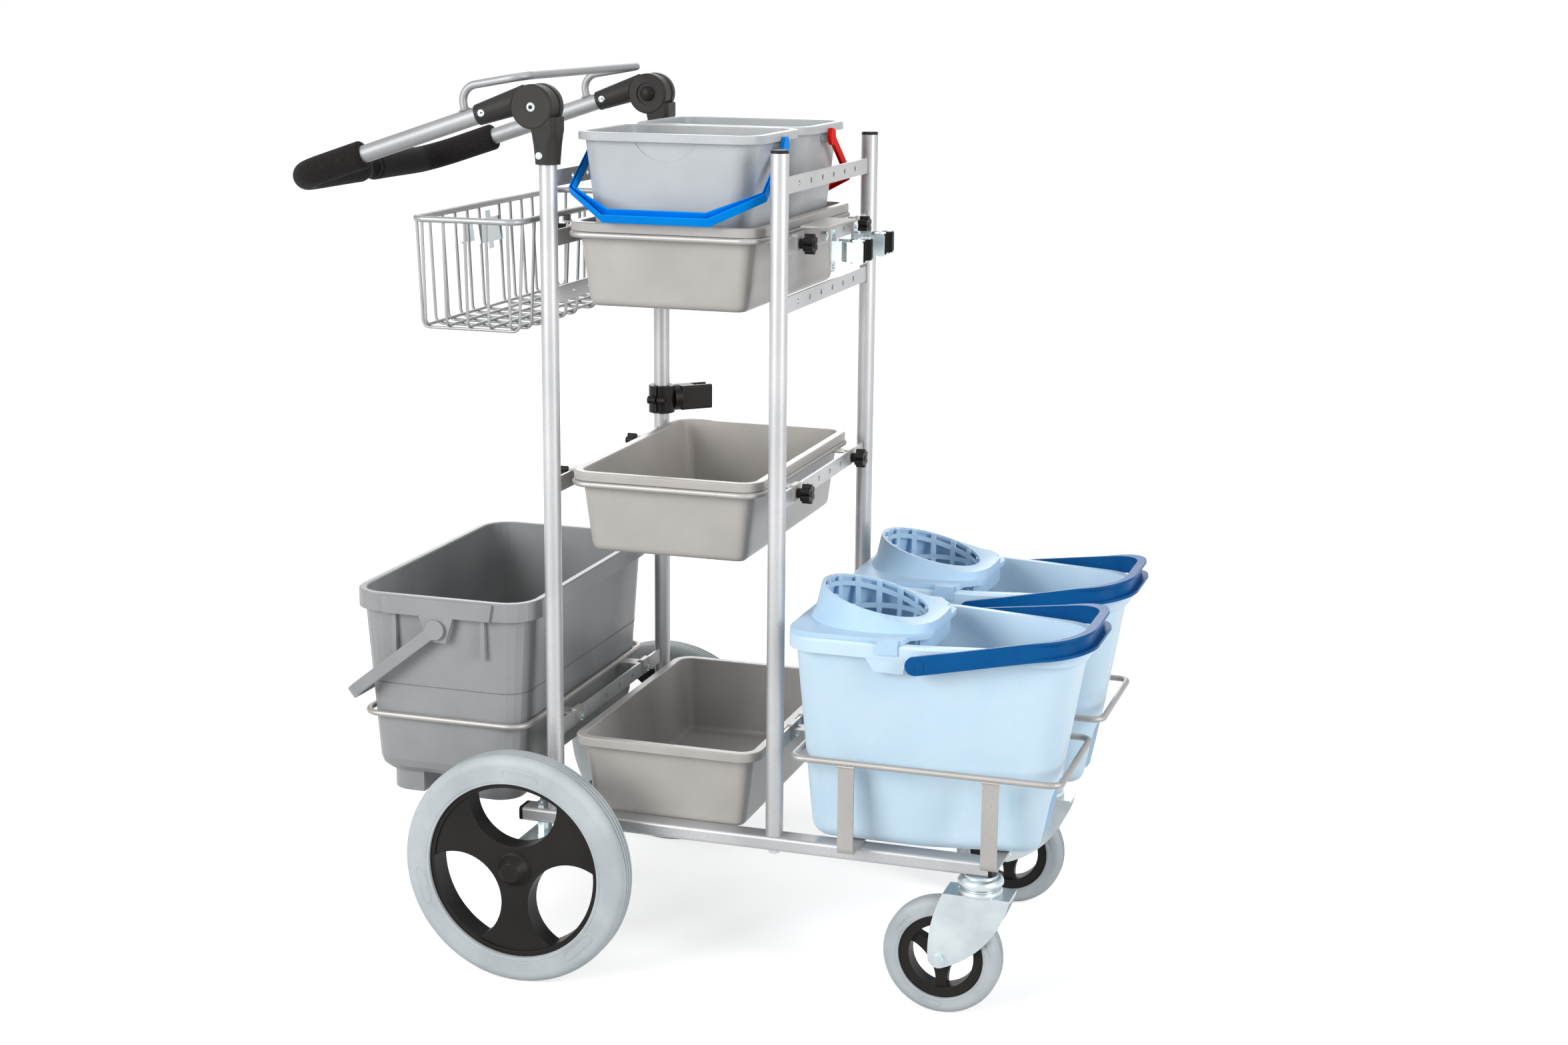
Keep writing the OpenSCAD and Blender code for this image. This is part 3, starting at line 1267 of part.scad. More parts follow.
module mop_bail(s) color(navy) cart() translate([mop_pivot_x, s * mop_off, mop_z + mop_h - mop_pivot_drop])
    rotate([0, -mop_bail_angle, 0]) {
        linear_extrude(mop_bail_h, center = true) difference() {
            mop_bail_outline(mop_bail_t);
            mop_bail_outline(0);
            translate([-50, 0]) square([100, 4 * mop_ear], center = true);
        }
        for (z = [-1, 1]) translate([0, 0, z * (mop_bail_h - flange_t) / 2])
            linear_extrude(flange_t, center = true) intersection() {
                difference() {
                    mop_bail_outline(mop_bail_t + mop_flange);
                    mop_bail_outline(mop_bail_t / 2);
                }
                translate([mop_bail_front, 0])
                    square([2 * nose_bend, 2 * (mop_bail_nose - grip_in)], center = true);
            }
        both_sides() translate([0, -mop_ear, 0]) rotate([90, 0, 0]) {
            cylinder(d = mop_bail_h, h = mop_bail_t);
            translate([0, 0, -mop_lip - ear_gap]) cylinder(d = bail_pin_d, h = mop_lip + ear_gap + 1);
        }
    }

// Wringer: a plate on the rear half of the rim, a funnel that rises to a slanted collar,
// a blunt spout in front and a slatted cage below
plate_t = 6;
plate_half = mop_half_w - 3;
plate_rear = 87;
plate_front = 60;
plate_step = 84;
collar_t = 4.5;
collar_low = 13;
spout_x = 88;
spout_half = 72;
spout_top = 16;
spout_low = 15;
spout_wall = 3;
funnel_r = 82;
funnel_mid_r = 75;
boxy = 0.6;
notch_r = 8;
notch_y = 44;
wringer_back = 89;
wringer_x = mop_x0 + wringer_back;
wringer_z = mop_z + mop_h + seat;
slat_count = 14;
slat = [3.5, 6];
cage_bottom_r = 42;
cage_floor = 4;
hoop = [4.5, 5];
cage_top_r = wringer_r - 4;
funnel_steps = 28;

// Outline of the funnel: round behind, blunt with round corners in front
function signed_power(v, e) = sign(v) * pow(abs(v), e);
function funnel_outline(r, x) = [for (k = [0:funnel_steps - 1]) let (a = 360 * k / funnel_steps)
    cos(a) < -0.001 ? r * [cos(a), sin(a)]
        : [x * signed_power(max(cos(a), 0), boxy), r * signed_power(sin(a), boxy)]];
function collar_ring(r) = [for (k = [0:funnel_steps - 1]) let (a = 360 * k / funnel_steps)
    [r * cos(a), r * sin(a), lerp(collar_low, wringer_h, (1 - cos(a)) / 2)]];

// Hook over the rim, above the tab of the bucket
wringer_hook_x = 44;
wringer_hook_w = 24;
wringer_hook_h = 12;
hook_wall = 2.5;
module wringer_hook() {
    outer = mop_half_w + seat + hook_wall;
    translate([wringer_hook_x - wringer_hook_w / 2, -outer, -wringer_hook_h])
        cube([wringer_hook_w, hook_wall, wringer_hook_h + plate_t]);
    translate([wringer_hook_x - wringer_hook_w / 2, -outer, 0])
        cube([wringer_hook_w, outer - plate_half + 2 * hook_wall, plate_t]);
}

module wringer(s) color(ice_blue) cart() translate([wringer_x, s * mop_off, wringer_z]) {
    difference() {
        union() {
            linear_extrude(plate_t) polygon(rounded([[-plate_rear, -plate_half], [plate_front, -plate_half],
                [plate_front + 4, -plate_step], [spout_x - 2, -spout_half + 8], [spout_x - 2, spout_half - 8],
                [plate_front + 4, plate_step], [plate_front, plate_half], [-plate_rear, plate_half]],
                [mop_corner, 3, 3, 8, 8, 3, 3, mop_corner], mop_steps));
            loft([level(funnel_outline(funnel_r, spout_x), plate_t - 1),
                level(funnel_outline(funnel_mid_r, spout_x - 1), spout_top), collar_ring(wringer_r)]);
            translate([0, 0, -spout_low]) linear_extrude(spout_low + 1) difference() {
                polygon(funnel_outline(funnel_r - 1, spout_x - 1));
                polygon(funnel_outline(funnel_r - 1 - spout_wall, spout_x - 1 - spout_wall));
                translate([spout_half - 3 * funnel_r, -2 * funnel_r]) square([3 * funnel_r, 4 * funnel_r]);
            }
        }
        translate([0, 0, -1]) cylinder(r = wringer_r - collar_t, h = 2 * wringer_h);
        translate([spout_x, notch_y, spout_top]) rotate([0, 90, 0])
            cylinder(r = notch_r, h = 2 * notch_r, center = true);
    }
    translate([0, 0, -wringer_depth]) {
        cylinder(r = cage_bottom_r, h = cage_floor);
        for (k = [0.36, 0.7]) translate([0, 0, k * wringer_depth]) rotate_extrude()
            translate([lerp(cage_bottom_r, cage_top_r, k) - hoop[0] + 0.5, 0]) square(hoop);
    }
    lean = atan((cage_top_r - cage_bottom_r) / wringer_depth);
    for (k = [0:slat_count - 1]) rotate(k * 360 / slat_count)
        translate([cage_bottom_r - 4, -slat[1] / 2, 1 - wringer_depth]) rotate([0, lean, 0])
            cube([slat[0], slat[1], wringer_depth / cos(lean) + 1]);
    both_sides() wringer_hook();
}

// Wire basket

basket_c = -basket_back - basket_x / 2;
basket_draw = [16, 12];
basket_bend = 18;
basket_hook = 13;
wire_first = 31;
wire_lap = 0.4;
wires_each = 6;
floor_in = 8;
basket_half = [basket_x / 2, basket_y / 2];
basket_floor = basket_half - basket_draw;
basket_low = basket_rim_z - basket_h;
module wire(a, b) straight(a, b, wire_d, $fn = 8);

module u_wire(top_a, low_a, low_b, top_b) {
    wire(top_a, low_a + unit(low_a - top_a) * wire_d / 2);
    wire(low_a + unit(low_a - low_b) * wire_d / 2, low_b + unit(low_b - low_a) * wire_d / 2);
    wire(low_b + unit(low_b - top_b) * wire_d / 2, top_b);
}

module wire_basket() color("#A9ABAC") cart() translate([basket_c, 0, 0]) {
    bent(ring_path([0, 0], basket_half, basket_rim_z), rod_d, basket_bend, closed = true);
    for (s = [-1, 1], k = [0:wires_each - 1]) {
        y = s * (wire_first + k * wire_pitch);
        u_wire([-basket_half.x, y, basket_rim_z], [-basket_floor.x, y, basket_low],
            [basket_floor.x, y, basket_low], [basket_half.x, y, basket_rim_z]);
    }
    for (k = [-2:2]) {
        x = k * (basket_floor.x - floor_in) / 2;
        z = basket_low + wire_d - wire_lap;
        u_wire([x, -basket_half.y, basket_rim_z], [x, -basket_floor.y, z],
            [x, basket_floor.y, z], [x, basket_half.y, basket_rim_z]);
    }
    for (y = [-1.5, 1.5] * hole_pitch) translate([basket_half.x + basket_back, y, 0]) rotate([90, 0, 0])
        linear_extrude(hook_w, center = true) {
            reach = bar_t / 2 + seat;
            translate([-basket_back, tray_bar + seat]) square([basket_back + reach + sheet_t, sheet_t]);
            translate([-basket_back - sheet_t, tray_bar + seat])
                square([sheet_t, basket_rim_z - tray_bar - seat]);
            translate([reach, tray_bar - basket_hook]) square([sheet_t, basket_hook + seat + sheet_t]);
        }
}

// Clip plate on the outside of the rear basket wall, between the two middle wires
wall_lean = atan(basket_draw.x / basket_h);
basket_clip_drop = 34;
clip_lap = sheet_t - wire_lap;
clip_plate = [10, 32];
module at_basket_clip() cart() translate([basket_c - basket_half.x, 0, basket_rim_z])
    rotate([0, 180 - wall_lean, 0]) translate([wire_d / 2, 0, basket_clip_drop]) children();

module basket_clip() color(zinc) at_basket_clip() {
    half = wire_first + clip_plate[0] / 2;
    translate([0, -half, -clip_plate[1] / 2]) cube([sheet_t, 2 * half, clip_plate[1]]);
    for (y = [-wire_first, wire_first]) translate([sheet_t / 2, y, 0]) rotate([0, 90, 0])
        cylinder(d = clip_rivet[0], h = sheet_t / 2 + clip_rivet[1]);
    translate([clip_lap, 0, 0]) spring_clip();
}

module basket_clip_rollers() color(black) at_basket_clip() translate([clip_lap, 0, 0]) clip_roller_pair();

side_rails();
tube_plugs();
rear_ladder();
front_ladder();
frame_bolts();
axle_channel();
wheel_axle();
rear_hub(-1);  // rear_hub_near
rear_tyre(-1);  // rear_tyre_near
rear_hub(1);  // rear_hub_far
rear_tyre(1);  // rear_tyre_far
caster_heads();
caster_fork(-1);  // caster_fork_near
caster_axle(-1);  // caster_axle_near
caster_rim(-1);  // caster_rim_near
caster_tyre(-1);  // caster_tyre_near
caster_fork(1);  // caster_fork_far
caster_axle(1);  // caster_axle_far
caster_rim(1);  // caster_rim_far
caster_tyre(1);  // caster_tyre_far
tray_holders();
rear_bucket_holder();
front_bucket_holder();
clip_bracket();
clip_springs();
clip_rollers();
tool_clamp_collar();
tool_clamp_jaw();
handle_joints();
handle_pivots();
arm_sockets();
handle_frame();
foam_grips();
grip_plugs();
top_tray();
mid_tray();
bottom_tray();
small_bucket(-1);  // small_bucket_near
small_bail(-1);  // small_bail_near
small_bucket(1);  // small_bucket_far
small_bail(1);  // small_bail_far
rear_bucket();
rear_bail();
mop_bucket(-1);  // mop_bucket_near
mop_bail(-1);  // mop_bail_near
wringer(-1);  // wringer_near
mop_bucket(1);  // mop_bucket_far
mop_bail(1);  // mop_bail_far
wringer(1);  // wringer_far
wire_basket();
basket_clip();
basket_clip_rollers();
star_knob(true, tray_bar, -knob_y);  // knob_top_front_near
star_knob(true, tray_bar, knob_y);  // knob_top_front_far
star_knob(false, tray_bar, -knob_y);  // knob_top_rear_near
star_knob(false, tray_bar, knob_y);  // knob_top_rear_far
star_knob(true, mid_bar, -knob_y);  // knob_mid_front_near
star_knob(true, mid_bar, knob_y);  // knob_mid_front_far
star_knob(false, mid_bar, -knob_y);  // knob_mid_rear_near
star_knob(false, mid_bar, knob_y);  // knob_mid_rear_far
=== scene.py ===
# Janitor cart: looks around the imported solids, in metres, in the frame of the solids.
# Front is +X, the near side is -Y, up is +Z, the floor is z = 0.
import json
import math

import bmesh
import bpy
from mathutils import Matrix, Vector


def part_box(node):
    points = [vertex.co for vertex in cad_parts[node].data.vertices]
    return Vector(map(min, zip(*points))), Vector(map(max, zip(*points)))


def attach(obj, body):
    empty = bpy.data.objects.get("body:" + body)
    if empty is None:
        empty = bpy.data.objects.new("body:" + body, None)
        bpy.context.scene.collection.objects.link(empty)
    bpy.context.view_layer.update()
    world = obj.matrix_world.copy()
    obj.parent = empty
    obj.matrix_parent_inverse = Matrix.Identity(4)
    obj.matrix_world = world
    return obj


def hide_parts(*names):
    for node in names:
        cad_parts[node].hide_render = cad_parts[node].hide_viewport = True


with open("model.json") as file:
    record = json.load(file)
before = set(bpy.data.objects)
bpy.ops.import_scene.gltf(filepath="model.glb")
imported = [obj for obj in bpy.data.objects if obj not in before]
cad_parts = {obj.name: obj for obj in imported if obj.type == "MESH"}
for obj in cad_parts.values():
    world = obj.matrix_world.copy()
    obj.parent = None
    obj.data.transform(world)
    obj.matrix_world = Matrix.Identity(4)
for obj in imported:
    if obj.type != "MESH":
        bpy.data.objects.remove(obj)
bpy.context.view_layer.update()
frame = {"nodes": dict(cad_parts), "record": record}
nodes = frame["nodes"]
scene = bpy.context.scene

# Studio
# A pale seamless floor, one large soft lamp in front on the left and weaker ones on the right, overhead
# and behind. The camera has the place and lens of the photograph's.
CAMERA_AT = Vector((0.994345, -2.86025, 1.24516))
CAMERA_AZ, CAMERA_EL, CAMERA_ROLL = (math.radians(a) for a in (17.75, 12.88, 0.52))
LENS_MM, SENSOR_MM = 54.403, 36
LAMPS_AIM = Vector((0.05, 0, 0.55))
FLOOR_HALF = 30.0
FLOOR_DROP = 0.0005
GLOW_NEAR, GLOW_FAR = (0.7, 0.6), (3.2, 0.9)


def linear(hex_colour):
    values = [int(hex_colour[i:i + 2], 16) / 255 for i in (1, 3, 5)]
    return [c / 12.92 if c <= 0.04045 else ((c + 0.055) / 1.055) ** 2.4 for c in values] + [1.0]


def add(tree, kind, inputs=(), **settings):
    made = tree.nodes.new("ShaderNode" + kind)
    for key, value in settings.items():
        setattr(made, key, value)
    for key, value in dict(inputs).items():
        if isinstance(value, bpy.types.NodeSocket):
            tree.links.new(value, made.inputs[key])
        else:
            made.inputs[key].default_value = value
    return made


def empty_material(name):
    material = bpy.data.materials.new(name)
    material.use_nodes = True
    material.node_tree.nodes.clear()
    return material, material.node_tree


def into_scene(name, data):
    made = bpy.data.objects.new(name, data)
    scene.collection.objects.link(made)
    return made


def shown_rays(tree):
    # 1 for rays that meet a surface straight, in a mirror or through glass, and else 0
    seen = add(tree, "LightPath").outputs
    shown = seen["Is Camera Ray"]
    for kind in ("Is Glossy Ray", "Is Transmission Ray"):
        shown = add(tree, "Math", {0: shown, 1: seen[kind]}, operation="MAXIMUM").outputs[0]
    return shown


def soft_lamp(name, place, size, watts):
    lamp = into_scene(name, bpy.data.lights.new(name, "AREA"))
    lamp.data.shape = "RECTANGLE"
    lamp.data.size, lamp.data.size_y = size
    lamp.data.energy = watts
    lamp.location = place
    lamp.rotation_euler = (LAMPS_AIM - Vector(place)).to_track_quat("-Z", "Y").to_euler()


level_right = Vector((math.cos(CAMERA_AZ), math.sin(CAMERA_AZ), 0))
level_ahead = Vector((-math.sin(CAMERA_AZ), math.cos(CAMERA_AZ), 0))
forward = math.cos(CAMERA_EL) * level_ahead - Vector((0, 0, math.sin(CAMERA_EL)))
level_up = level_right.cross(forward)
right = math.cos(CAMERA_ROLL) * level_right + math.sin(CAMERA_ROLL) * level_up
up = math.cos(CAMERA_ROLL) * level_up - math.sin(CAMERA_ROLL) * level_right
camera = into_scene("camera", bpy.data.cameras.new("camera"))
camera.data.sensor_width = SENSOR_MM
camera.data.lens = LENS_MM
turn = Matrix((right, up, -forward)).transposed()
camera.matrix_world = Matrix.Translation(CAMERA_AT) @ turn.to_4x4()
scene.camera = camera
scene.view_settings.view_transform = "Standard"

world = bpy.data.worlds.new("studio")
scene.world = world
world.use_nodes = True
sky = world.node_tree
sky.nodes.clear()
ambient = add(sky, "Background", {"Color": linear("#F7F7F7"), "Strength": 0.3})
white = add(sky, "Background", {"Color": (1, 1, 1, 1), "Strength": 1.0})
mixed = add(sky, "MixShader", {0: shown_rays(sky), 1: ambient.outputs[0], 2: white.outputs[0]})
add(sky, "OutputWorld", {"Surface": mixed.outputs[0]})

# the floor glows a little more with distance, so that it meets the white background unseen
floor_mesh = bpy.data.meshes.new("floor")
floor_corners = [(sx * FLOOR_HALF, sy * FLOOR_HALF, 0) for sx, sy in ((-1, -1), (1, -1), (1, 1), (-1, 1))]
floor_mesh.from_pydata(floor_corners, [], [(0, 1, 2, 3)])
floor = into_scene("floor", floor_mesh)
floor.location.z = -FLOOR_DROP
painted_floor, tree = empty_material("matt white studio floor")
place = add(tree, "TexCoord").outputs["Object"]
distance = add(tree, "VectorMath", {0: place}, operation="LENGTH")
glow = add(tree, "MapRange", {"Value": distance.outputs["Value"], "From Min": GLOW_NEAR[0],
                              "From Max": GLOW_FAR[0], "To Min": GLOW_NEAR[1], "To Max": GLOW_FAR[1]})
glow_seen = add(tree, "Math", {0: glow.outputs[0], 1: shown_rays(tree)}, operation="MULTIPLY")
matt = add(tree, "BsdfDiffuse", {"Color": linear("#CFCFCF"), "Roughness": 0.9})
shine = add(tree, "Emission", {"Color": (1, 1, 1, 1), "Strength": glow_seen.outputs[0]})
both = add(tree, "AddShader", {0: matt.outputs[0], 1: shine.outputs[0]})
add(tree, "OutputMaterial", {"Surface": both.outputs[0]})
floor_mesh.materials.append(painted_floor)

soft_lamp("front left lamp", (-1.9, -3.2, 1.9), (2.0, 2.4), 112)
soft_lamp("right lamp", (3.4, -1.4, 1.6), (1.4, 2.4), 74)
soft_lamp("overhead lamp", (0.1, 0.3, 3.4), (2.4, 2.0), 20)
soft_lamp("back lamp", (-1.2, 3.4, 1.8), (2.0, 2.0), 40)

# Rails, ladders, rod holders and bracket
# Tube, flat bar and rod of mild steel, welded together and then coated in silver-grey powder: a
# satin coat with fine metal flake. The posts are a little cooler than the rods; the rods and arms are
# darker copies of the posts' coat, as painted shade that tones down their brightly lit tops.
ladder_low, ladder_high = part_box("rear_ladder")
REAR_POSTS_X = (ladder_low[0] + ladder_high[0]) / 2
MM = 0.001
FLAKE, COAT_CLOUD, PEEL, PEEL_DEPTH = 0.8, 120, 2.5, 0.3


def at(x, y, z):
    # millimetres counted from the rear posts, the mid plane and the floor
    return Vector((REAR_POSTS_X + x * MM, y * MM, z * MM))


def dress(material, *names):
    for name in names:
        holder = nodes[name].data.materials
        holder.clear()
        holder.append(material)


def between(tree, factor, *stops):
    shade = add(tree, "ValToRGB", {"Fac": factor})
    for element, (position, hex_colour) in zip(shade.color_ramp.elements, stops):
        element.position = position
        element.color = linear(hex_colour)
    return shade.outputs["Color"]


def powder_coat(name, hex_dark, hex_pale, roughness):
    # flakes about 0.3 mm wide are drawn at 0.8 mm so that they show; the powder melts to a faint
    # orange peel about 2.5 mm wide
    material, tree = empty_material(name)
    place = add(tree, "TexCoord").outputs["Object"]
    flake = add(tree, "TexNoise", {"Vector": place, "Scale": 1 / (FLAKE * MM), "Detail": 1})
    cloud = add(tree, "TexNoise", {"Vector": place, "Scale": 1 / (COAT_CLOUD * MM), "Detail": 3})
    amount = add(tree, "Math", {0: flake.outputs["Fac"], 1: cloud.outputs["Fac"]}, operation="MULTIPLY")
    shade = between(tree, amount.outputs[0], (0.12, hex_dark), (0.42, hex_pale))
    peel = add(tree, "TexNoise", {"Vector": place, "Scale": 1 / (PEEL * MM), "Detail": 1})
    bump = add(tree, "Bump", {"Height": peel.outputs["Fac"], "Strength": 0.05, "Distance": PEEL_DEPTH * MM})
    rough = add(tree, "MapRange", {"Value": cloud.outputs["Fac"], "To Min": roughness - 0.04,
                                   "To Max": roughness + 0.05})
    coat = add(tree, "BsdfPrincipled", {"Base Color": shade, "Metallic": 0.55, "Normal": bump.outputs[0],
                                        "Roughness": rough.outputs[0]})
    add(tree, "OutputMaterial", {"Surface": coat.outputs[0]})
    return material


post_silver = powder_coat("satin silver powder coat", "#B4B5B6", "#CECECF", 0.42)
# the rods' and arms' coats are darker than the posts' coat as painted shade, not a different finish
rod_silver_painted_shade = powder_coat("satin grey-silver powder coat darkened as painted shade", "#A5A29F", "#BCB9B6", 0.47)
arm_silver_painted_shade = powder_coat("satin silver powder coat darkened as painted shade", "#929496", "#ABADAE", 0.5)
dress(post_silver, "side_rails", "rear_ladder", "front_ladder")
dress(arm_silver_painted_shade, "handle_frame")
dress(rod_silver_painted_shade, "tray_holders", "rear_bucket_holder", "front_bucket_holder", "clip_bracket")

# Weld beads
# Rippled beads of weld metal under the same coat: round each perforated bar where it meets a
# post, beside the straps of the front holder and round the two feet of the handle's rack.
POST_R, POST_Y, POST_PITCH = 11, 193, 295
BAR_HALF = (1.5, 10)
BAR_TOPS = {0: (317, 636, 875, 945, 1018), POST_PITCH: (327, 636, 875, 945, 1018)}
BEAD_R, RIPPLE = 1.5, 0.2
BEAD_OUT, BEAD_CORNER, BEAD_SINK, BEAD_STEP = 0.8, 1, 0.2, 1.4
STRAP_X, STRAP_Y, STRAP_HALF = (399.5, 578.5), 235, 11
STRAP_WELD_OUT, STRAP_WELD_Z, STRAP_WELD_STEP = 2.6, 318, 1.6
CREASE = 42


def swept(path, radii, sides=12, closed=False):
    # skin of a rod along a path of points, with one radius or one for each point
    count = len(path)
    radii = radii if isinstance(radii, list) else [radii] * count
    points, faces = [], []
    side = None
    for i, middle in enumerate(path):
        before = path[i - 1] if closed or i > 0 else path[0]
        after = path[(i + 1) % count] if closed or i < count - 1 else path[-1]
        ahead = (after - before).normalized()
        side = ahead.orthogonal() if side is None else side - ahead * side.dot(ahead)
        side.normalize()
        other = ahead.cross(side)
        for k in range(sides):
            angle = 2 * math.pi * k / sides
            points.append(middle + radii[i] * (math.cos(angle) * side + math.sin(angle) * other))
    for i in range(count if closed else count - 1):
        a, b = i * sides, (i + 1) % count * sides
        for k in range(sides):
            n = (k + 1) % sides
            faces.append((a + k, a + n, b + n, b + k))
    if not closed:
        faces.append(tuple(reversed(range(sides))))
        faces.append(tuple(range((count - 1) * sides, count * sides)))
    return points, faces


def joined(parts):
    points, faces = [], []
    for part_points, part_faces in parts:
        first = len(points)
        points.extend(part_points)
        faces.extend(tuple(first + i for i in face) for face in part_faces)
    return points, faces


def skins(name, parts):
    # one object from several skins, with all faces turned outwards
    points, faces = joined(parts)
    mesh = bpy.data.meshes.new(name)
    mesh.from_pydata([tuple(p) for p in points], [], faces)
    shape = bmesh.new()
    shape.from_mesh(mesh)
    bmesh.ops.recalc_face_normals(shape, faces=shape.faces)
    shape.to_mesh(mesh)
    shape.free()
    mesh.shade_smooth()
    mesh.set_sharp_from_angle(angle=math.radians(CREASE))
    return into_scene(name, mesh)


def carried(made, material, body):
    made.data.materials.clear()
    made.data.materials.append(material)
    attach(made, body)


def piece(name, parts, material, body):
    made = skins(name, parts)
    carried(made, material, body)
    return made


def rounded_box_path(half_u, half_v, r, steps):
    # closed outline of a rectangle with round corners, as pairs
    quarter = [k * math.pi / 2 / steps for k in range(steps + 1)]
    corners = ((1, 1, 0), (-1, 1, 1), (-1, -1, 2), (1, -1, 3))
    return [(su * (half_u - r) + r * math.cos(a + turns * math.pi / 2),
             sv * (half_v - r) + r * math.sin(a + turns * math.pi / 2))
            for su, sv, turns in corners for a in quarter]


def bead(path, closed):
    radii = [(BEAD_R + RIPPLE * (-1) ** i) * MM for i in range(len(path))]
    return swept(path, radii, 8, closed)


def fine(path, step, closed):
    # the same path with points about one step apart
    ends = list(zip(path, path[1:] + path[:1])) if closed else list(zip(path, path[1:]))
    made = []
    for a, b in ends:
        cuts = max(1, round((b - a).length / step))
        made.extend(a.lerp(b, k / cuts) for k in range(cuts))
    return made if closed else made + [path[-1]]


beads = []
for post_x, tops in BAR_TOPS.items():
    for top in tops:
        for s in (-1, 1):
            loop = rounded_box_path(BAR_HALF[0] + BEAD_OUT, BAR_HALF[1] + BEAD_OUT, BEAD_CORNER, 3)
            face_y = s * (POST_Y - POST_R + BEAD_SINK)
            round_bar = [at(post_x + u, face_y, top - BAR_HALF[1] + v) for u, v in loop]
            beads.append(bead(fine(round_bar, BEAD_STEP * MM, True), True))
for x in STRAP_X:
    for y in (-STRAP_Y, STRAP_Y):
        for side in (-STRAP_WELD_OUT, STRAP_WELD_OUT):
            ends = [at(x + half, y + side, STRAP_WELD_Z) for half in (-STRAP_HALF, STRAP_HALF)]
            beads.append(bead(fine(ends, STRAP_WELD_STEP * MM, False), False))
piece("frame_welds", beads, rod_silver_painted_shade, "cart_frame")

# Zinc plated axle, casters, bolts and spring clips
# Pressed and turned steel, bright zinc plated: smooth, faintly blue and softly clouded where the
# plating bath left its marks.
ZINC_CLOUD, ZINC_GRAIN, ZINC_GRAIN_DEPTH = 45, 1.2, 0.2
MERGE, FLAT_ANGLE = 0.004, 0.4


def zinc_plate(name, hex_dark, hex_pale, roughness):
    material, tree = empty_material(name)
    place = add(tree, "TexCoord").outputs["Object"]
    cloud = add(tree, "TexNoise", {"Vector": place, "Scale": 1 / (ZINC_CLOUD * MM), "Detail": 3,
                                   "Roughness": 0.5})
    shade = between(tree, cloud.outputs["Fac"], (0.3, hex_dark), (0.7, hex_pale))
    rough = add(tree, "MapRange", {"Value": cloud.outputs["Fac"], "To Min": roughness - 0.05,
                                   "To Max": roughness + 0.06})
    grain = add(tree, "TexNoise", {"Vector": place, "Scale": 1 / (ZINC_GRAIN * MM), "Detail": 1})
    bump = add(tree, "Bump", {"Height": grain.outputs["Fac"], "Strength": 0.03,
                              "Distance": ZINC_GRAIN_DEPTH * MM})
    plate = add(tree, "BsdfPrincipled", {"Base Color": shade, "Metallic": 0.85, "Normal": bump.outputs[0],
                                         "Roughness": rough.outputs[0]})
    add(tree, "OutputMaterial", {"Surface": plate.outputs[0]})
    return material


body_of = {node: body for body, held in frame["record"]["behaviour"]["bodies"].items() for node in held}


def rounded_edges(made, edge_mm):
    edges = made.modifiers.new("rounded edges", "BEVEL")
    edges.width = edge_mm * MM
    edges.segments = 2
    edges.loop_slide = False
    edges.limit_method = "ANGLE"
    edges.angle_limit = math.radians(CREASE)
    flat = made.modifiers.new("flat faces stay flat", "WEIGHTED_NORMAL")
    flat.keep_sharp = True


def trimmed(made, parts, operation):
    # cuts a mesh by closed skins, or keeps what lies in them
    tool = skins("trim", parts)
    cut = made.modifiers.new("trim", "BOOLEAN")
    cut.object = tool
    cut.operation = operation
    cut.solver = "EXACT"
    bpy.context.view_layer.update()
    shown = made.evaluated_get(bpy.context.evaluated_depsgraph_get())
    made.data = bpy.data.meshes.new_from_object(shown)
    made.modifiers.clear()
    bpy.data.objects.remove(tool)


def eased(name, material, edge_mm, parts=(), operation="DIFFERENCE"):
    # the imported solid's own shape with its sharp edges rounded, trimmed first where skins are given
    shape = bmesh.new()
    shape.from_mesh(nodes[name].data)
    bmesh.ops.remove_doubles(shape, verts=shape.verts, dist=MERGE * MM)
    bmesh.ops.dissolve_limit(shape, angle_limit=math.radians(FLAT_ANGLE), verts=shape.verts,
                           edges=shape.edges)
    mesh = bpy.data.meshes.new(name + "_eased")
    shape.to_mesh(mesh)
    shape.free()
    mesh.shade_smooth()
    mesh.materials.append(material)
    made = into_scene(name + "_eased", mesh)
    if parts:
        trimmed(made, parts, operation)
    rounded_edges(made, edge_mm)
    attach(made, body_of[name])
    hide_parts(name)
    return made


zinc = zinc_plate("bright zinc plate", "#C3CED2", "#DDE6E8", 0.27)
dress(zinc, "frame_bolts", "axle_channel", "wheel_axle", "caster_heads", "clip_springs", "basket_clip")
for side in ("_near", "_far"):
    eased("caster_fork" + side, zinc, 0.6)
    eased("caster_axle" + side, zinc, 0.4)

# Wheel hubs, knobs, plugs and tool clamp
# Injection moulded glass-filled nylon: near black, dry and finely grained, a little paler where it
# has been handled.
RESIN_CLOUD, PIT_DEPTH, SCATTER = 70, 0.4, 4


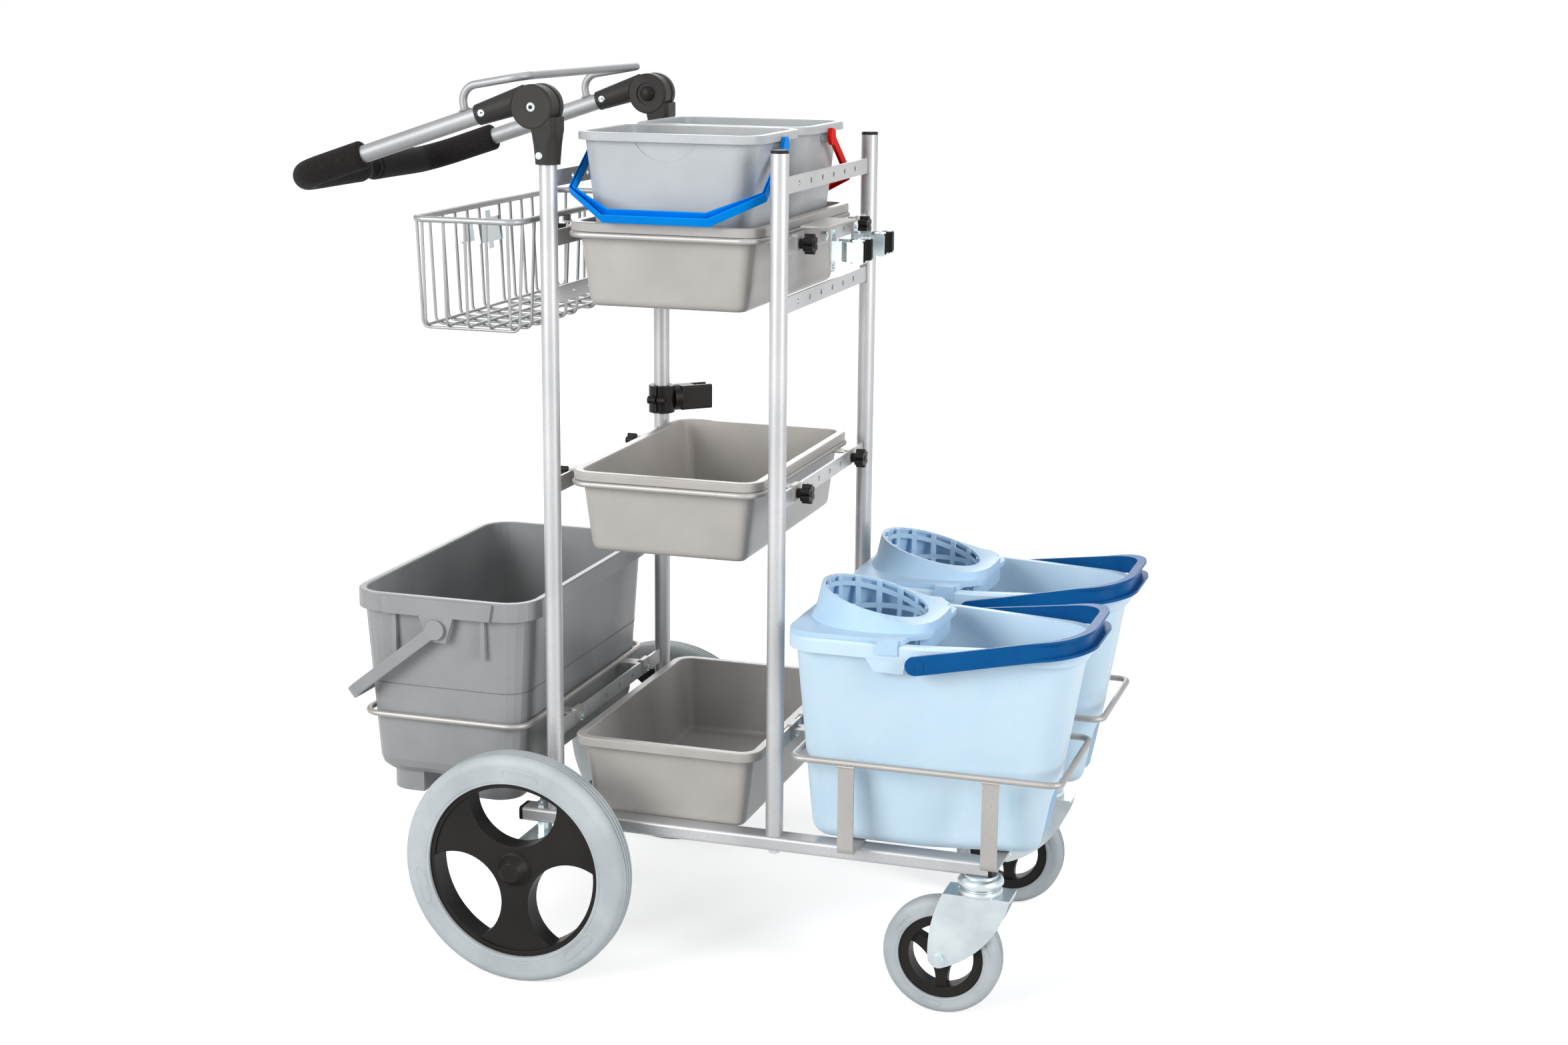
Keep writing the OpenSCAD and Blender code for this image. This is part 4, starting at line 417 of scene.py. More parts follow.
def moulded(name, hex_dark, hex_pale, roughness, grain_mm, grain, gloss=0.3, glow=0.0):
    # light scatters a short way into the pale resins, by the share glow
    material, tree = empty_material(name)
    place = add(tree, "TexCoord").outputs["Object"]
    cloud = add(tree, "TexNoise", {"Vector": place, "Scale": 1 / (RESIN_CLOUD * MM), "Detail": 4,
                                   "Roughness": 0.55})
    shade = between(tree, cloud.outputs["Fac"], (0.3, hex_dark), (0.7, hex_pale))
    rough = add(tree, "MapRange", {"Value": cloud.outputs["Fac"], "To Min": roughness - 0.05,
                                   "To Max": roughness + 0.05})
    pits = add(tree, "TexNoise", {"Vector": place, "Scale": 1 / (grain_mm * MM), "Detail": 3})
    bump = add(tree, "Bump", {"Height": pits.outputs["Fac"], "Strength": grain, "Distance": PIT_DEPTH * MM})
    resin = add(tree, "BsdfPrincipled", {"Base Color": shade, "Roughness": rough.outputs[0], "IOR": 1.5,
                                         "Specular IOR Level": gloss, "Subsurface Weight": glow,
                                         "Subsurface Scale": SCATTER * MM, "Normal": bump.outputs[0]})
    add(tree, "OutputMaterial", {"Surface": resin.outputs[0]})
    return material


def turned(profile, foot, axis, steps=24):
    # skin turned round an axis, from pairs of radius and height
    axis = axis.normalized()
    side = axis.orthogonal().normalized()
    other = axis.cross(side)
    points, rings, faces = [], [], []
    for r, h in profile:
        turns = 1 if r == 0 else steps
        rings.append([len(points) + k for k in range(turns)])
        for k in range(turns):
            angle = 2 * math.pi * k / steps
            out = math.cos(angle) * side + math.sin(angle) * other
            points.append(foot + h * MM * axis + r * MM * out)
    for low, high in zip(rings, rings[1:]):
        for k in range(steps):
            n = (k + 1) % steps
            ring = [low[k % len(low)], low[n % len(low)], high[n % len(high)], high[k % len(high)]]
            faces.append(tuple(dict.fromkeys(ring)))
    return points, faces


black_nylon = moulded("black glass-filled nylon", "#171514", "#22201E", 0.44, 1.0, 0.12, gloss=0.2)
for side in ("_near", "_far"):
    eased("caster_rim" + side, black_nylon, 0.8)
for name in ("tube_plugs", "tool_clamp_collar", "grip_plugs", "handle_pivots"):
    eased(name, black_nylon, 0.6)
eased("tool_clamp_jaw", black_nylon, 0.25)
for name in nodes:
    if name.startswith("knob_"):
        eased(name, black_nylon, 0.9)
roller_rubber = moulded("ribbed black rubber", "#181716", "#242221", 0.66, 0.8, 0.2, gloss=0.12)
dress(roller_rubber, "clip_rollers", "basket_clip_rollers")

# Rear hubs
# One moulding: a rim band under the tyre, three spokes that flare towards it and a boss with a conical
# cap over the end of the axle. Each window is a circle cut off by the band.
AXLE_X, AXLE_Z, WHEEL_Y = -20, 150, 270
BAND, BAND_HALF, WEB_HALF = 6.5, 16.8, 14.3
SPOKE_LEAST, WINDOW_LEAST = 36, 30
WEB_INTO_BAND, WINDOW_STEPS, RIM_STEPS, HUB_EDGE = 0.5, 32, 12, 1.4
BOSS_R, BOSS_BACK, BOSS_LIP = 24, 25, 1
CAP_R, CAP_FOOT_R, CAP_TOP_R, CAP_AT, CAP_H = 22, 21, 12, 17, 11


def spoke_outline(rim_r):
    # the windows stand as far out as the least widths of the spokes and of the boss ask
    window_at = (2 * WINDOW_LEAST - SPOKE_LEAST) / (2 - math.sqrt(3))
    window_r = window_at - WINDOW_LEAST
    half = math.acos((rim_r ** 2 + window_at ** 2 - window_r ** 2) / (2 * rim_r * window_at))
    start = math.atan2(rim_r * math.sin(half), rim_r * math.cos(half) - window_at)
    outline = []
    for window in (math.radians(a) for a in (90, 210, 330)):
        for k in range(WINDOW_STEPS + 1):
            angle = window - start - (2 * math.pi - 2 * start) * k / WINDOW_STEPS
            outline.append((window_at * math.cos(window) + window_r * math.cos(angle),
                            window_at * math.sin(window) + window_r * math.sin(angle)))
        arc = 2 * math.pi / 3 - 2 * half
        for k in range(1, RIM_STEPS):
            angle = window + half + arc * k / RIM_STEPS
            outline.append((rim_r * math.cos(angle), rim_r * math.sin(angle)))
    return outline


def extruded(outline, low, high, place):
    # solid between two heights of a flat outline, set by a function of three lengths
    count = len(outline)
    points = [place(u, v, w) for w in (low, high) for u, v in outline]
    faces = [tuple(range(count)), tuple(range(count, 2 * count))]
    faces += [(k, (k + 1) % count, count + (k + 1) % count, count + k) for k in range(count)]
    return points, faces


for side, s in (("near", -1), ("far", 1)):
    low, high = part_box("rear_hub_" + side)
    rim_r = (high[2] - low[2]) / 2 / MM
    middle, out = at(AXLE_X, s * WHEEL_Y, AXLE_Z), Vector((0, s, 0))
    band = [(rim_r, -BAND_HALF), (rim_r, BAND_HALF), (rim_r - BAND, BAND_HALF), (rim_r - BAND, -BAND_HALF),
            (rim_r, -BAND_HALF)]
    boss = [(0, -BOSS_BACK), (BOSS_R, -BOSS_BACK), (BOSS_R, WEB_HALF + BOSS_LIP),
            (CAP_R, WEB_HALF + BOSS_LIP), (CAP_R, CAP_AT), (CAP_FOOT_R, CAP_AT),
            (CAP_TOP_R, CAP_AT + CAP_H), (0, CAP_AT + CAP_H)]
    web = extruded(spoke_outline(rim_r - BAND + WEB_INTO_BAND), -WEB_HALF, WEB_HALF,
                   lambda u, v, w: at(AXLE_X + u, s * (WHEEL_Y + w), AXLE_Z - s * v))
    parts = [turned(band, middle, out, 96), web, turned(boss, middle, out, 48)]
    hub = piece("rear_hub_spokes_" + side, parts, black_nylon,
                "rear_wheel_" + side)
    rounded_edges(hub, HUB_EDGE)
    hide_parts("rear_hub_" + side)

# Tyres
# Solid non-marking rubber cast on the hubs: pale cool grey, matt, faintly dusty, with a fine
# raised line near the rim and three bare plates in raised outlines on each outer side.
tyre_rubber = moulded("pale grey non-marking rubber", "#B0B8BC", "#C6CCCF", 0.55, 1.4, 0.1)
dress(tyre_rubber, "rear_tyre_near", "rear_tyre_far", "caster_tyre_near", "caster_tyre_far")
LINE_R, LINE_STEP = 0.7, 3
REAR_RELIEF = {"line_at": 119, "plate_at": 128, "plate_half": (24, 5.5), "plates": (84, 195, 315)}
CASTER_RELIEF = {"line_at": 56, "plate_at": 60.5, "plate_half": (13, 3), "plates": (20, 140, 260)}
REAR_TYRE_HALF, CASTER_TYRE_HALF = 21, 15
CASTER_X, CASTER_Y, CASTER_Z = 515, 191, 75


def sidewall_relief(name, axle, face_y, body, line_at, plate_at, plate_half, plates):
    # a line round the tyre and outlines of plates, on the side at face_y
    def on_side(r, angle):
        return at(axle[0] + r * math.cos(angle), face_y, axle[1] + r * math.sin(angle))

    around = [2 * math.pi * k / 96 for k in range(96)]
    lines = [swept([on_side(line_at, a) for a in around], LINE_R * MM, 6, True)]
    for middle in plates:
        outline = rounded_box_path(*plate_half, plate_half[1] - 0.01, 6)
        path = [on_side(plate_at + v, math.radians(middle) + u / plate_at) for u, v in outline]
        lines.append(swept(fine(path, LINE_STEP * MM, True), LINE_R * MM, 6, True))
    piece(name, lines, tyre_rubber, body)


for side, s in (("near", -1), ("far", 1)):
    sidewall_relief("rear_tyre_relief_" + side, (AXLE_X, AXLE_Z), s * (WHEEL_Y + REAR_TYRE_HALF),
                    "rear_wheel_" + side, **REAR_RELIEF)
    for face in (-1, 1):
        sidewall_relief(f"caster_tyre_relief_{side}_{face + 1}", (CASTER_X, CASTER_Z),
                        s * CASTER_Y + face * CASTER_TYRE_HALF, "caster_wheel_" + side, **CASTER_RELIEF)

# Push handle
# Two bent tubes in tapered nylon sockets that tilt in forked hinge bodies on the rear posts. Zinc
# screws hold the pivots, the sockets and the necks, and the rack rod is welded on top of the tubes.
PIVOT = (-13, 1095)
ARM_SLOPE, RACK_SLOPE = math.radians(18.4), math.radians(10)
HINGE_EDGE, HINGE_FACE, NECK_FACE, SOCKET_R = 1.6, 213, 209, 13.6
PIVOT_SCREW_R, SCREW_R, SCREW_SINK = 5.5, 4.5, 0.4
NECK_SCREW, SOCKET_SCREW = (-5, 1037), (68, 13)
RACK_FOOT, RACK_FOOT_R, RACK_LEAN = (96, 10.4), 5.4, 0.147


def sloped(u, y, v, slope):
    # u runs down the arm from the pivot, v stands up from it
    return at(PIVOT[0] - u * math.cos(slope) - v * math.sin(slope), y,
              PIVOT[1] - u * math.sin(slope) + v * math.cos(slope))


def screw_head(foot, axis, r):
    # low dome with a round drive socket
    dome = [(r, -1), (r, 0.6), (0.85 * r, 1.3), (0.5 * r, 1.6), (0.45 * r, 0.4), (0, 0.2)]
    return turned(dome, foot, axis)


def stacked(rings, closed=False):
    # skin over rings of points, with end caps or, where closed, with the last ring joined to the first
    count = len(rings[0])
    points = [p for ring in rings for p in ring]
    faces = [] if closed else [tuple(range(count)), tuple(range(len(points) - count, len(points)))]
    for i in range(len(rings) if closed else len(rings) - 1):
        a, b = i * count, (i + 1) % len(rings) * count
        faces += [(a + k, a + (k + 1) % count, b + (k + 1) % count, b + k) for k in range(count)]
    return points, faces


# the neck of each hinge body narrows from the head to a round collar: height, half sizes and corner
NECK = ((1024, 15.3, 15.3, 15.2), (1030, 15.5, 15.4, 15.2), (1048, 15.8, 17, 13), (1062, 16, 18.6, 9.5),
        (1067, 16.2, 19.2, 7), (1067.4, 60, 40, 7), (1130, 60, 40, 7))
necks = [stacked([[at(u, v + y, z) for u, v in rounded_box_path(half_x, half_y, r, 6)]
                  for z, half_x, half_y, r in NECK]) for y in (-POST_Y, POST_Y)]
hinge_nylon = moulded("grained black nylon", "#2A2827", "#383634", 0.5, 1.6, 0.2, gloss=0.2)
eased("handle_joints", hinge_nylon, HINGE_EDGE, parts=necks, operation="INTERSECT")
eased("arm_sockets", hinge_nylon, HINGE_EDGE)
OUT = {-1: Vector((0, -1, 0)), 1: Vector((0, 1, 0))}
hinge_screws, socket_screws, rack_beads = [], [], []
for s in (-1, 1):
    hinge_screws.append(screw_head(at(PIVOT[0], s * HINGE_FACE, PIVOT[1]), OUT[s], PIVOT_SCREW_R))
    hinge_screws.append(screw_head(at(NECK_SCREW[0], s * NECK_FACE, NECK_SCREW[1]), OUT[s], SCREW_R))
    socket_foot = sloped(SOCKET_SCREW[0], s * POST_Y - SOCKET_R + SCREW_SINK, SOCKET_SCREW[1], ARM_SLOPE)
    socket_screws.append(screw_head(socket_foot, OUT[-1], SCREW_R))
    ring = [2 * math.pi * k / 24 for k in range(24)]
    loop = [sloped(RACK_FOOT[0] + RACK_FOOT_R * math.cos(a), s * POST_Y + RACK_FOOT_R * math.sin(a),
                   RACK_FOOT[1] - RACK_LEAN * RACK_FOOT_R * math.cos(a), RACK_SLOPE) for a in ring]
    rack_beads.append(bead(loop, True))
piece("hinge_screws", hinge_screws, zinc, "cart_frame")
piece("socket_screws", socket_screws, zinc, "push_handle")
piece("rack_welds", rack_beads, arm_silver_painted_shade, "push_handle")

# Foam grips
# Sleeves of black closed-cell foam pushed over the bent tube ends, with soft rounded ends, a grainy
# face and a faintly uneven thickness.
GRIP_START, GRIP_REACH, GRIP_BEND, GRIP_END, ARM_RISE = 243, 347, 45, 16, 13
GRIP_STEP, BEND_STEP = 4, 6
FOAM_R, ARM_TUBE_R, UNEVEN, UNEVEN_PITCH = 17.98, 11, 0.25, 0.09
FOAM_CELL, CELL_DEPTH = 1.3, 0.5
LIPS = ((0, ARM_TUBE_R + 0.1), (0.05, FOAM_R - 4), (0.9, FOAM_R - 1.6), (2.4, FOAM_R - 0.4))


def closed_cell_foam(name, hex_dark, hex_pale):
    # cells about 0.6 mm wide are drawn at 1.3 mm so that they show
    material, tree = empty_material(name)
    place = add(tree, "TexCoord").outputs["Object"]
    cells = add(tree, "TexVoronoi", {"Vector": place, "Scale": 1 / (FOAM_CELL * MM)})
    shade = between(tree, cells.outputs["Distance"], (0.1, hex_dark), (0.9, hex_pale))
    bump = add(tree, "Bump", {"Height": cells.outputs["Distance"], "Strength": 0.5,
                              "Distance": CELL_DEPTH * MM})
    skin = add(tree, "BsdfPrincipled", {"Base Color": shade, "Roughness": 0.9, "Sheen Weight": 0.05,
                                        "Specular IOR Level": 0.12, "Normal": bump.outputs[0]})
    add(tree, "OutputMaterial", {"Surface": skin.outputs[0]})
    return material


foam_black = closed_cell_foam("black closed-cell foam", "#121111", "#2C2928")
for side, s in (("near", -1), ("far", 1)):
    bend_u, bend_y = GRIP_REACH - GRIP_BEND, POST_Y - GRIP_BEND
    line = [(u, POST_Y) for u in range(GRIP_START, bend_u, GRIP_STEP)]
    bend = [math.radians(a) for a in range(0, 91, BEND_STEP)]
    line += [(bend_u + GRIP_BEND * math.sin(a), bend_y + GRIP_BEND * math.cos(a)) for a in bend]
    line += [(GRIP_REACH, y) for y in range(bend_y - GRIP_STEP, GRIP_END, -GRIP_STEP)]
    line.append((GRIP_REACH, GRIP_END))
    path = [sloped(u, s * y, ARM_RISE, ARM_SLOPE) for u, y in line]
    start, finish = path[0], path[-1]
    first, last = (path[1] - start).normalized(), (path[-2] - finish).normalized()
    opening = [start + depth * MM * first for depth, r in LIPS]
    closing = [finish + depth * MM * last for depth, r in reversed(LIPS)]
    radii = [r * MM for depth, r in LIPS]
    radii += [(FOAM_R - UNEVEN * abs(math.sin(UNEVEN_PITCH * i))) * MM for i in range(1, len(path) - 1)]
    radii += [r * MM for depth, r in reversed(LIPS)]
    sleeve = swept(opening + path[1:-1] + closing, radii, 32)
    grip = piece("foam_grip_" + side, [sleeve], foam_black, "push_handle")
    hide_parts("foam_grips")

# Trays, pails and rear bucket
# Injection moulded polypropylene with drafted walls and rolled rims: a satin face that shows soft
# streaks of light down its corners. The rear bucket has a fine seam line round its walls, drawn darker as a
# painted shadow line.
tray_grey = moulded("warm grey polypropylene", "#B0ACA8", "#BBB7B3", 0.34, 1.3, 0.03)
pail_grey = moulded("cool grey polypropylene", "#B5B9BC", "#C0C4C7", 0.34, 1.3, 0.03)
bin_grey = moulded("dark grey polypropylene", "#949698", "#9EA0A1", 0.36, 1.3, 0.04)
for name in ("top_tray", "mid_tray", "bottom_tray"):
    eased(name, tray_grey, 0.8)
for side in ("_near", "_far"):
    eased("small_bucket" + side, pail_grey, 0.7)
dress(bin_grey, "rear_bucket")
eased("rear_bail", bin_grey, 1.2)
SEAM_HALF, SEAM_CORNER, SEAM_Z, REAR_BACK = (111.5, 209.7), 33.8, 354, 150
SEAM_R, SEAM_STEP = 0.6, 20
seam = [at(u - REAR_BACK, v, SEAM_Z) for u, v in rounded_box_path(*SEAM_HALF, SEAM_CORNER, 8)]
# the seam's dark grey is a painted shadow line, not the moulding's own colour
seam_painted_shadow_grey = moulded("seam of polypropylene darkened as a painted shadow line", "#6A6C6E", "#747678", 0.5, 1.3, 0.04)
seam_line = swept(fine(seam, SEAM_STEP * MM, True), SEAM_R * MM, 6, True)
piece("rear_bucket_seam", [seam_line], seam_painted_shadow_grey, "rear_bucket")

# Bails of the pails
# Thin channels of bright polypropylene, one blue and one red, snapped into the rims of the pails.
# The grips have open pockets.
bail_blue = moulded("blue polypropylene", "#0288E8", "#0594F2", 0.38, 1.3, 0.03, gloss=0.03)
bail_red = moulded("red polypropylene", "#E01812", "#EE2218", 0.38, 1.3, 0.03, gloss=0.03)
eased("small_bail_near", bail_blue, 0.6)
eased("small_bail_far", bail_red, 0.6)

# Mop buckets
# Ice blue polypropylene, thin enough to let some light through. From above each is a boat with a round
# nose; the walls draw in to a foot with an arch in front, and a tab hangs from the rim on both sides.
ice_blue = moulded("ice blue polypropylene", "#CCE7FB", "#D6ECFD", 0.4, 1.3, 0.03, gloss=0.2, glow=0.25)
MOP_OFF, MOP_Z, MOP_H, MOP_SKIRT, MOP_LIP, MOP_WALL, MOP_EDGE = 137, 207, 271, 18, 9, 3, 22
MOP_REAR, MOP_FRONT, MOP_HALF, NOSE_HALF, BEND_X = 318.5, 676.5, 108, 78, 486.5
DRAFT_REAR, DRAFT_FRONT, DRAFT_SIDE, DRAFT_NOSE = 20, 44, 46, 34
MOP_FOOT = (MOP_REAR + DRAFT_REAR, MOP_FRONT - DRAFT_FRONT, MOP_HALF - DRAFT_SIDE, NOSE_HALF - DRAFT_NOSE)
MOP_BODY = (MOP_REAR + MOP_LIP, MOP_FRONT - MOP_LIP, MOP_HALF - MOP_LIP, NOSE_HALF - MOP_LIP)
NOSE_CUT, REAR_BEND, SIDE_BEND, NOSE_BEND, RIM_ROUND, LEAST_BEND = 28, 30, 120, 46, 3, 8
ARCH_HALF, ARCH_H, ARCH_DEPTH = 24, 92, 34
PIN_BOSS_R, PIN_BOSS_OUT, PIN_BOSS_DROP, PIN_BOSS_SINK = 9, 6, 20, 1
TAB_T, TAB_SINK, TAB_DROP, TAB_TOP, TAB_LOW = 3, 1, 17, (-64, -12), (-52, -16)


def bent_path(corners, bend, steps=6):
    # open path with its inner corners rounded, to one radius or to one for each
    bends = bend if isinstance(bend, tuple) else (bend,) * (len(corners) - 2)
    made = [corners[0]]
    for a, v, b, r in zip(corners, corners[1:], corners[2:], bends):
        da, db = (a - v).normalized(), (b - v).normalized()
        half = da.angle(db) / 2
        middle = v + (da + db).normalized() * r / math.sin(half)
        p, q = v + da * r / math.tan(half) - middle, v + db * r / math.tan(half) - middle
        made.extend(middle + r * p.slerp(q, k / steps).normalized() for k in range(steps + 1))
    return made + [corners[-1]]


def boat(plan, grow, z, s):
    # level ring of a mop bucket, from the rear end, the front end and the two half widths
    rear, front, half, nose = plan[0] - grow, plan[1] + grow, plan[2] + grow, plan[3] + grow
    corner = nose - NOSE_CUT * (half - nose) / (front - NOSE_CUT - BEND_X)
    radii = (max(REAR_BEND + grow, LEAST_BEND), SIDE_BEND, min(NOSE_BEND + grow / 2, corner))
    corners = ((rear, 0, 0), (rear, half, 0), (BEND_X, half, 0), (front, corner, 0), (front, 0, 0))
    ring = bent_path([Vector(p) for p in corners], radii, 10)
    ring += [Vector((p.x, -p.y, 0)) for p in reversed(ring[1:-1])]
    return [at(p.x, s * MOP_OFF + p.y, MOP_Z + z) for p in ring]


def foot_arch(grow, s):
    # room of the arch in front of the foot, larger by grow
    round_top = [math.pi * k / 16 for k in range(17)]
    r, spring = ARCH_HALF + grow, ARCH_H - ARCH_HALF
    outline = [(-r, -ARCH_HALF), (r, -ARCH_HALF)]
    outline += [(r * math.cos(a), spring + r * math.sin(a)) for a in round_top]
    start = MOP_FOOT[1] - ARCH_DEPTH - grow
    return extruded(outline, start, start + 4 * ARCH_DEPTH,
                    lambda u, v, w: at(w, s * MOP_OFF + u, MOP_Z + v))


for side, s in (("near", -1), ("far", 1)):
    sweep = [math.radians(15 * k) for k in range(7)]
    outer = [boat(MOP_FOOT, -MOP_EDGE * (1 - math.sin(a)), MOP_EDGE * (1 - math.cos(a)), s) for a in sweep]
    outer += [boat(MOP_BODY, 0, MOP_H - MOP_SKIRT, s), boat(MOP_BODY, MOP_LIP, MOP_H - MOP_SKIRT, s),
              boat(MOP_BODY, MOP_LIP, MOP_H - RIM_ROUND, s), boat(MOP_BODY, MOP_LIP - RIM_ROUND, MOP_H, s)]
    depth = MOP_EDGE - MOP_WALL
    inner = [boat(MOP_FOOT, -depth * (1 - math.sin(a)) - MOP_WALL, MOP_WALL + depth * (1 - math.cos(a)), s)
             for a in sweep] + [boat(MOP_BODY, -MOP_WALL, MOP_H + 1, s)]
    hollow = skins("hollow", [stacked(inner)])
    trimmed(hollow, [foot_arch(MOP_WALL, s)], "DIFFERENCE")
    room = ([v.co.copy() for v in hollow.data.vertices], [tuple(f.vertices) for f in hollow.data.polygons])
    bpy.data.objects.remove(hollow)
    bucket = skins("mop_bucket_shell_" + side, [stacked(outer)])
    trimmed(bucket, [foot_arch(0, s)], "DIFFERENCE")
    trimmed(bucket, [room], "DIFFERENCE")
    carried(bucket, ice_blue, "mop_bucket_" + side)
    rounded_edges(bucket, 1.2)
    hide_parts("mop_bucket_" + side)
    fittings = []
    for t in (-1, 1):
        boss_foot = at(BEND_X, s * MOP_OFF + t * (MOP_HALF - MOP_LIP - PIN_BOSS_SINK),
                       MOP_Z + MOP_H - PIN_BOSS_DROP)
        pin_boss_h = MOP_LIP + PIN_BOSS_OUT
        pin_boss = [(0, 0), (PIN_BOSS_R, 0), (PIN_BOSS_R, pin_boss_h), (0, pin_boss_h)]
        fittings.append(turned(pin_boss, boss_foot, Vector((0, t, 0)), 32))
        tab = [(TAB_TOP[0], TAB_SINK), (TAB_TOP[1], TAB_SINK),
               (TAB_LOW[1], -TAB_DROP), (TAB_LOW[0], -TAB_DROP)]
        fittings.append(extruded(tab, MOP_HALF - TAB_T, MOP_HALF, lambda u, v, w: at(
            BEND_X + u, s * MOP_OFF + t * w, MOP_Z + MOP_H - MOP_SKIRT + v)))
    tabs = piece("mop_bucket_tabs_" + side, fittings, ice_blue,
                 "mop_bucket_" + side)
    rounded_edges(tabs, 0.8)

# Bails of the mop buckets
# Navy polypropylene: a flat strap that follows the rim in one smooth curve and swells to a grip with two
# lips in front. Round ears turn on pins in the bucket's bosses.
navy = moulded("navy polypropylene", "#0A4E8A", "#105B98", 0.36, 1.3, 0.04, gloss=0.08)
BAIL_AT, BAIL_TILT = (BEND_X, 458), math.radians(9.5)
BAIL_H, BAIL_T, LIP_T, LIP_OUT = 23, 4, 3.4, 7.9
BAIL_FRONT, BAIL_SIDE, BAIL_CORNER, BAIL_BEND = 194, (5, 115), 81, 52
BAIL_PIN_R, BAIL_PIN = 3.8, (-9, 1)
GRIP_BACK, GRIP_SWELL, LIP_LEAST, BOW_STEP = 62, 50, 0.05, 4


def bail_point(u, v, w, s):
    # u runs forward along the bail, w stands up from it
    return at(BAIL_AT[0] + u * math.cos(BAIL_TILT) - w * math.sin(BAIL_TILT), s * MOP_OFF + v,
              BAIL_AT[1] + u * math.sin(BAIL_TILT) + w * math.cos(BAIL_TILT))


for side, s in (("near", -1), ("far", 1)):
    half = ((0, BAIL_SIDE[1], 0), (BAIL_SIDE[0], BAIL_SIDE[1], 0),
            (BAIL_FRONT, BAIL_CORNER, 0), (BAIL_FRONT, 0, 0))
    bow = bent_path([Vector(p) for p in half], BAIL_BEND, 14)
    bow = fine(bow, BOW_STEP, False)
    bow += [Vector((p.x, -p.y, 0)) for p in reversed(bow[:-1])]
    rings = []
    for i, p in enumerate(bow):
        ahead = (bow[min(i + 1, len(bow) - 1)] - bow[max(i - 1, 0)]).normalized()
        out = Vector((-ahead.y, ahead.x, 0))
        swell = min(max((p.x - BAIL_FRONT + GRIP_BACK) / GRIP_SWELL, 0), 1)
        lip = LIP_LEAST + LIP_OUT * swell * swell * (3 - 2 * swell)
        high, inner = BAIL_H / 2, BAIL_H / 2 - LIP_T
        section = ((0, -high), (BAIL_T + lip, -high), (BAIL_T + lip, -inner), (BAIL_T, -inner),
                   (BAIL_T, inner), (BAIL_T + lip, inner), (BAIL_T + lip, high), (0, high))
        rings.append([bail_point(p.x + o * out.x, p.y + o * out.y, w, s) for o, w in section])
    parts = [stacked(rings)]
    for t in (-1, 1):
        foot, axis = bail_point(0, t * BAIL_SIDE[1], 0, s), Vector((0, t, 0))
        parts.append(turned([(0, 0), (BAIL_H / 2, 0), (BAIL_H / 2, BAIL_T), (0, BAIL_T)], foot, axis, 40))
        parts.append(turned([(BAIL_PIN_R, h) for h in BAIL_PIN], foot, axis, 24))
    bail = piece("mop_bail_bow_" + side, parts, navy, "mop_bail_" + side)
    rounded_edges(bail, 1.2)
    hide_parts("mop_bail_" + side)

# Wringers
# A hollow funnel that rises to a slanted collar. The slats of the cage rise inside it to the edge of
# the collar, tied by two hoops, and leave dark gaps to the funnel's wall.
# the wringer and its cage are a darker copy of the mop buckets' ice blue: painted shade for the shadowed
# funnel
wringer_ice_blue_painted_shade = moulded("ice blue polypropylene darkened as painted shade", "#B6D7F2", "#C0DDF5", 0.4, 1.3, 0.03, gloss=0.2,
                       glow=0.25)
WRINGER_X, WRINGER_Z = 407.5, 478.3
SLATS, SLAT_R, SLAT_HALF, SLAT_FOOT, SLAT_DROP = 14, 62, (1.6, 3.6), -4, 1
HOOP = ((60.2, -6), (63, -6), (63, 0), (60.2, 0))
COLLAR_LOW, COLLAR_HIGH, COLLAR_STEPS = 13, 48, 56
HOOP_DROP, LOW_HOOP_AT = 8, 5
CAVITY = ((1.5, 73), (14, 71))
CAVITY_TOP_R, CAVITY_DROP, CAVITY_GAP = 65.3, 3.5, 1


def collar_height(angle):
    return COLLAR_LOW + (COLLAR_HIGH - COLLAR_LOW) * (1 - math.cos(angle)) / 2


def on_ring(middle, r, angle, z):
    return middle + MM * Vector((r * math.cos(angle), r * math.sin(angle), z))


def block(low, high):
    # box between two corners of a local frame, as points and faces
    xs, ys, zs = zip(low, high)
    points = [Vector((x, y, z)) for x in xs for y in ys for z in zs]
    return points, [(0, 1, 3, 2), (4, 6, 7, 5), (0, 4, 5, 1), (2, 3, 7, 6), (0, 2, 6, 4), (1, 5, 7, 3)]


for side, s in (("near", -1), ("far", 1)):
    middle = at(WRINGER_X, s * MOP_OFF, WRINGER_Z)
    around = [2 * math.pi * k / COLLAR_STEPS for k in range(COLLAR_STEPS)]
    top_gap = CAVITY_DROP + CAVITY_GAP
    levels = [[on_ring(middle, r, a, min(z, collar_height(a) - top_gap)) for a in around]
              for z, r in CAVITY]
    levels.append([on_ring(middle, CAVITY_TOP_R, a, collar_height(a) - CAVITY_DROP) for a in around])
    eased("wringer_" + side, wringer_ice_blue_painted_shade, 0.7, parts=[stacked(levels)])
    cage = []
    for k in range(SLATS):
        angle = 2 * math.pi * k / SLATS
        points, faces = block((SLAT_R - SLAT_HALF[0], -SLAT_HALF[1], SLAT_FOOT),
                              (SLAT_R + SLAT_HALF[0], SLAT_HALF[1], collar_height(angle) - SLAT_DROP))
        turn = Matrix.Rotation(angle, 3, "Z")
        cage.append(([middle + MM * (turn @ p) for p in points], faces))
    upper_hoop = [[on_ring(middle, r, a, collar_height(a) - HOOP_DROP + z) for r, z in HOOP]
                  for a in around]
    lower_hoop = [[on_ring(middle, r, a, LOW_HOOP_AT + z) for r, z in HOOP] for a in around]
    cage += [stacked(upper_hoop, closed=True), stacked(lower_hoop, closed=True)]
    piece("wringer_upper_cage_" + side, cage, wringer_ice_blue_painted_shade, "wringer_" + side)

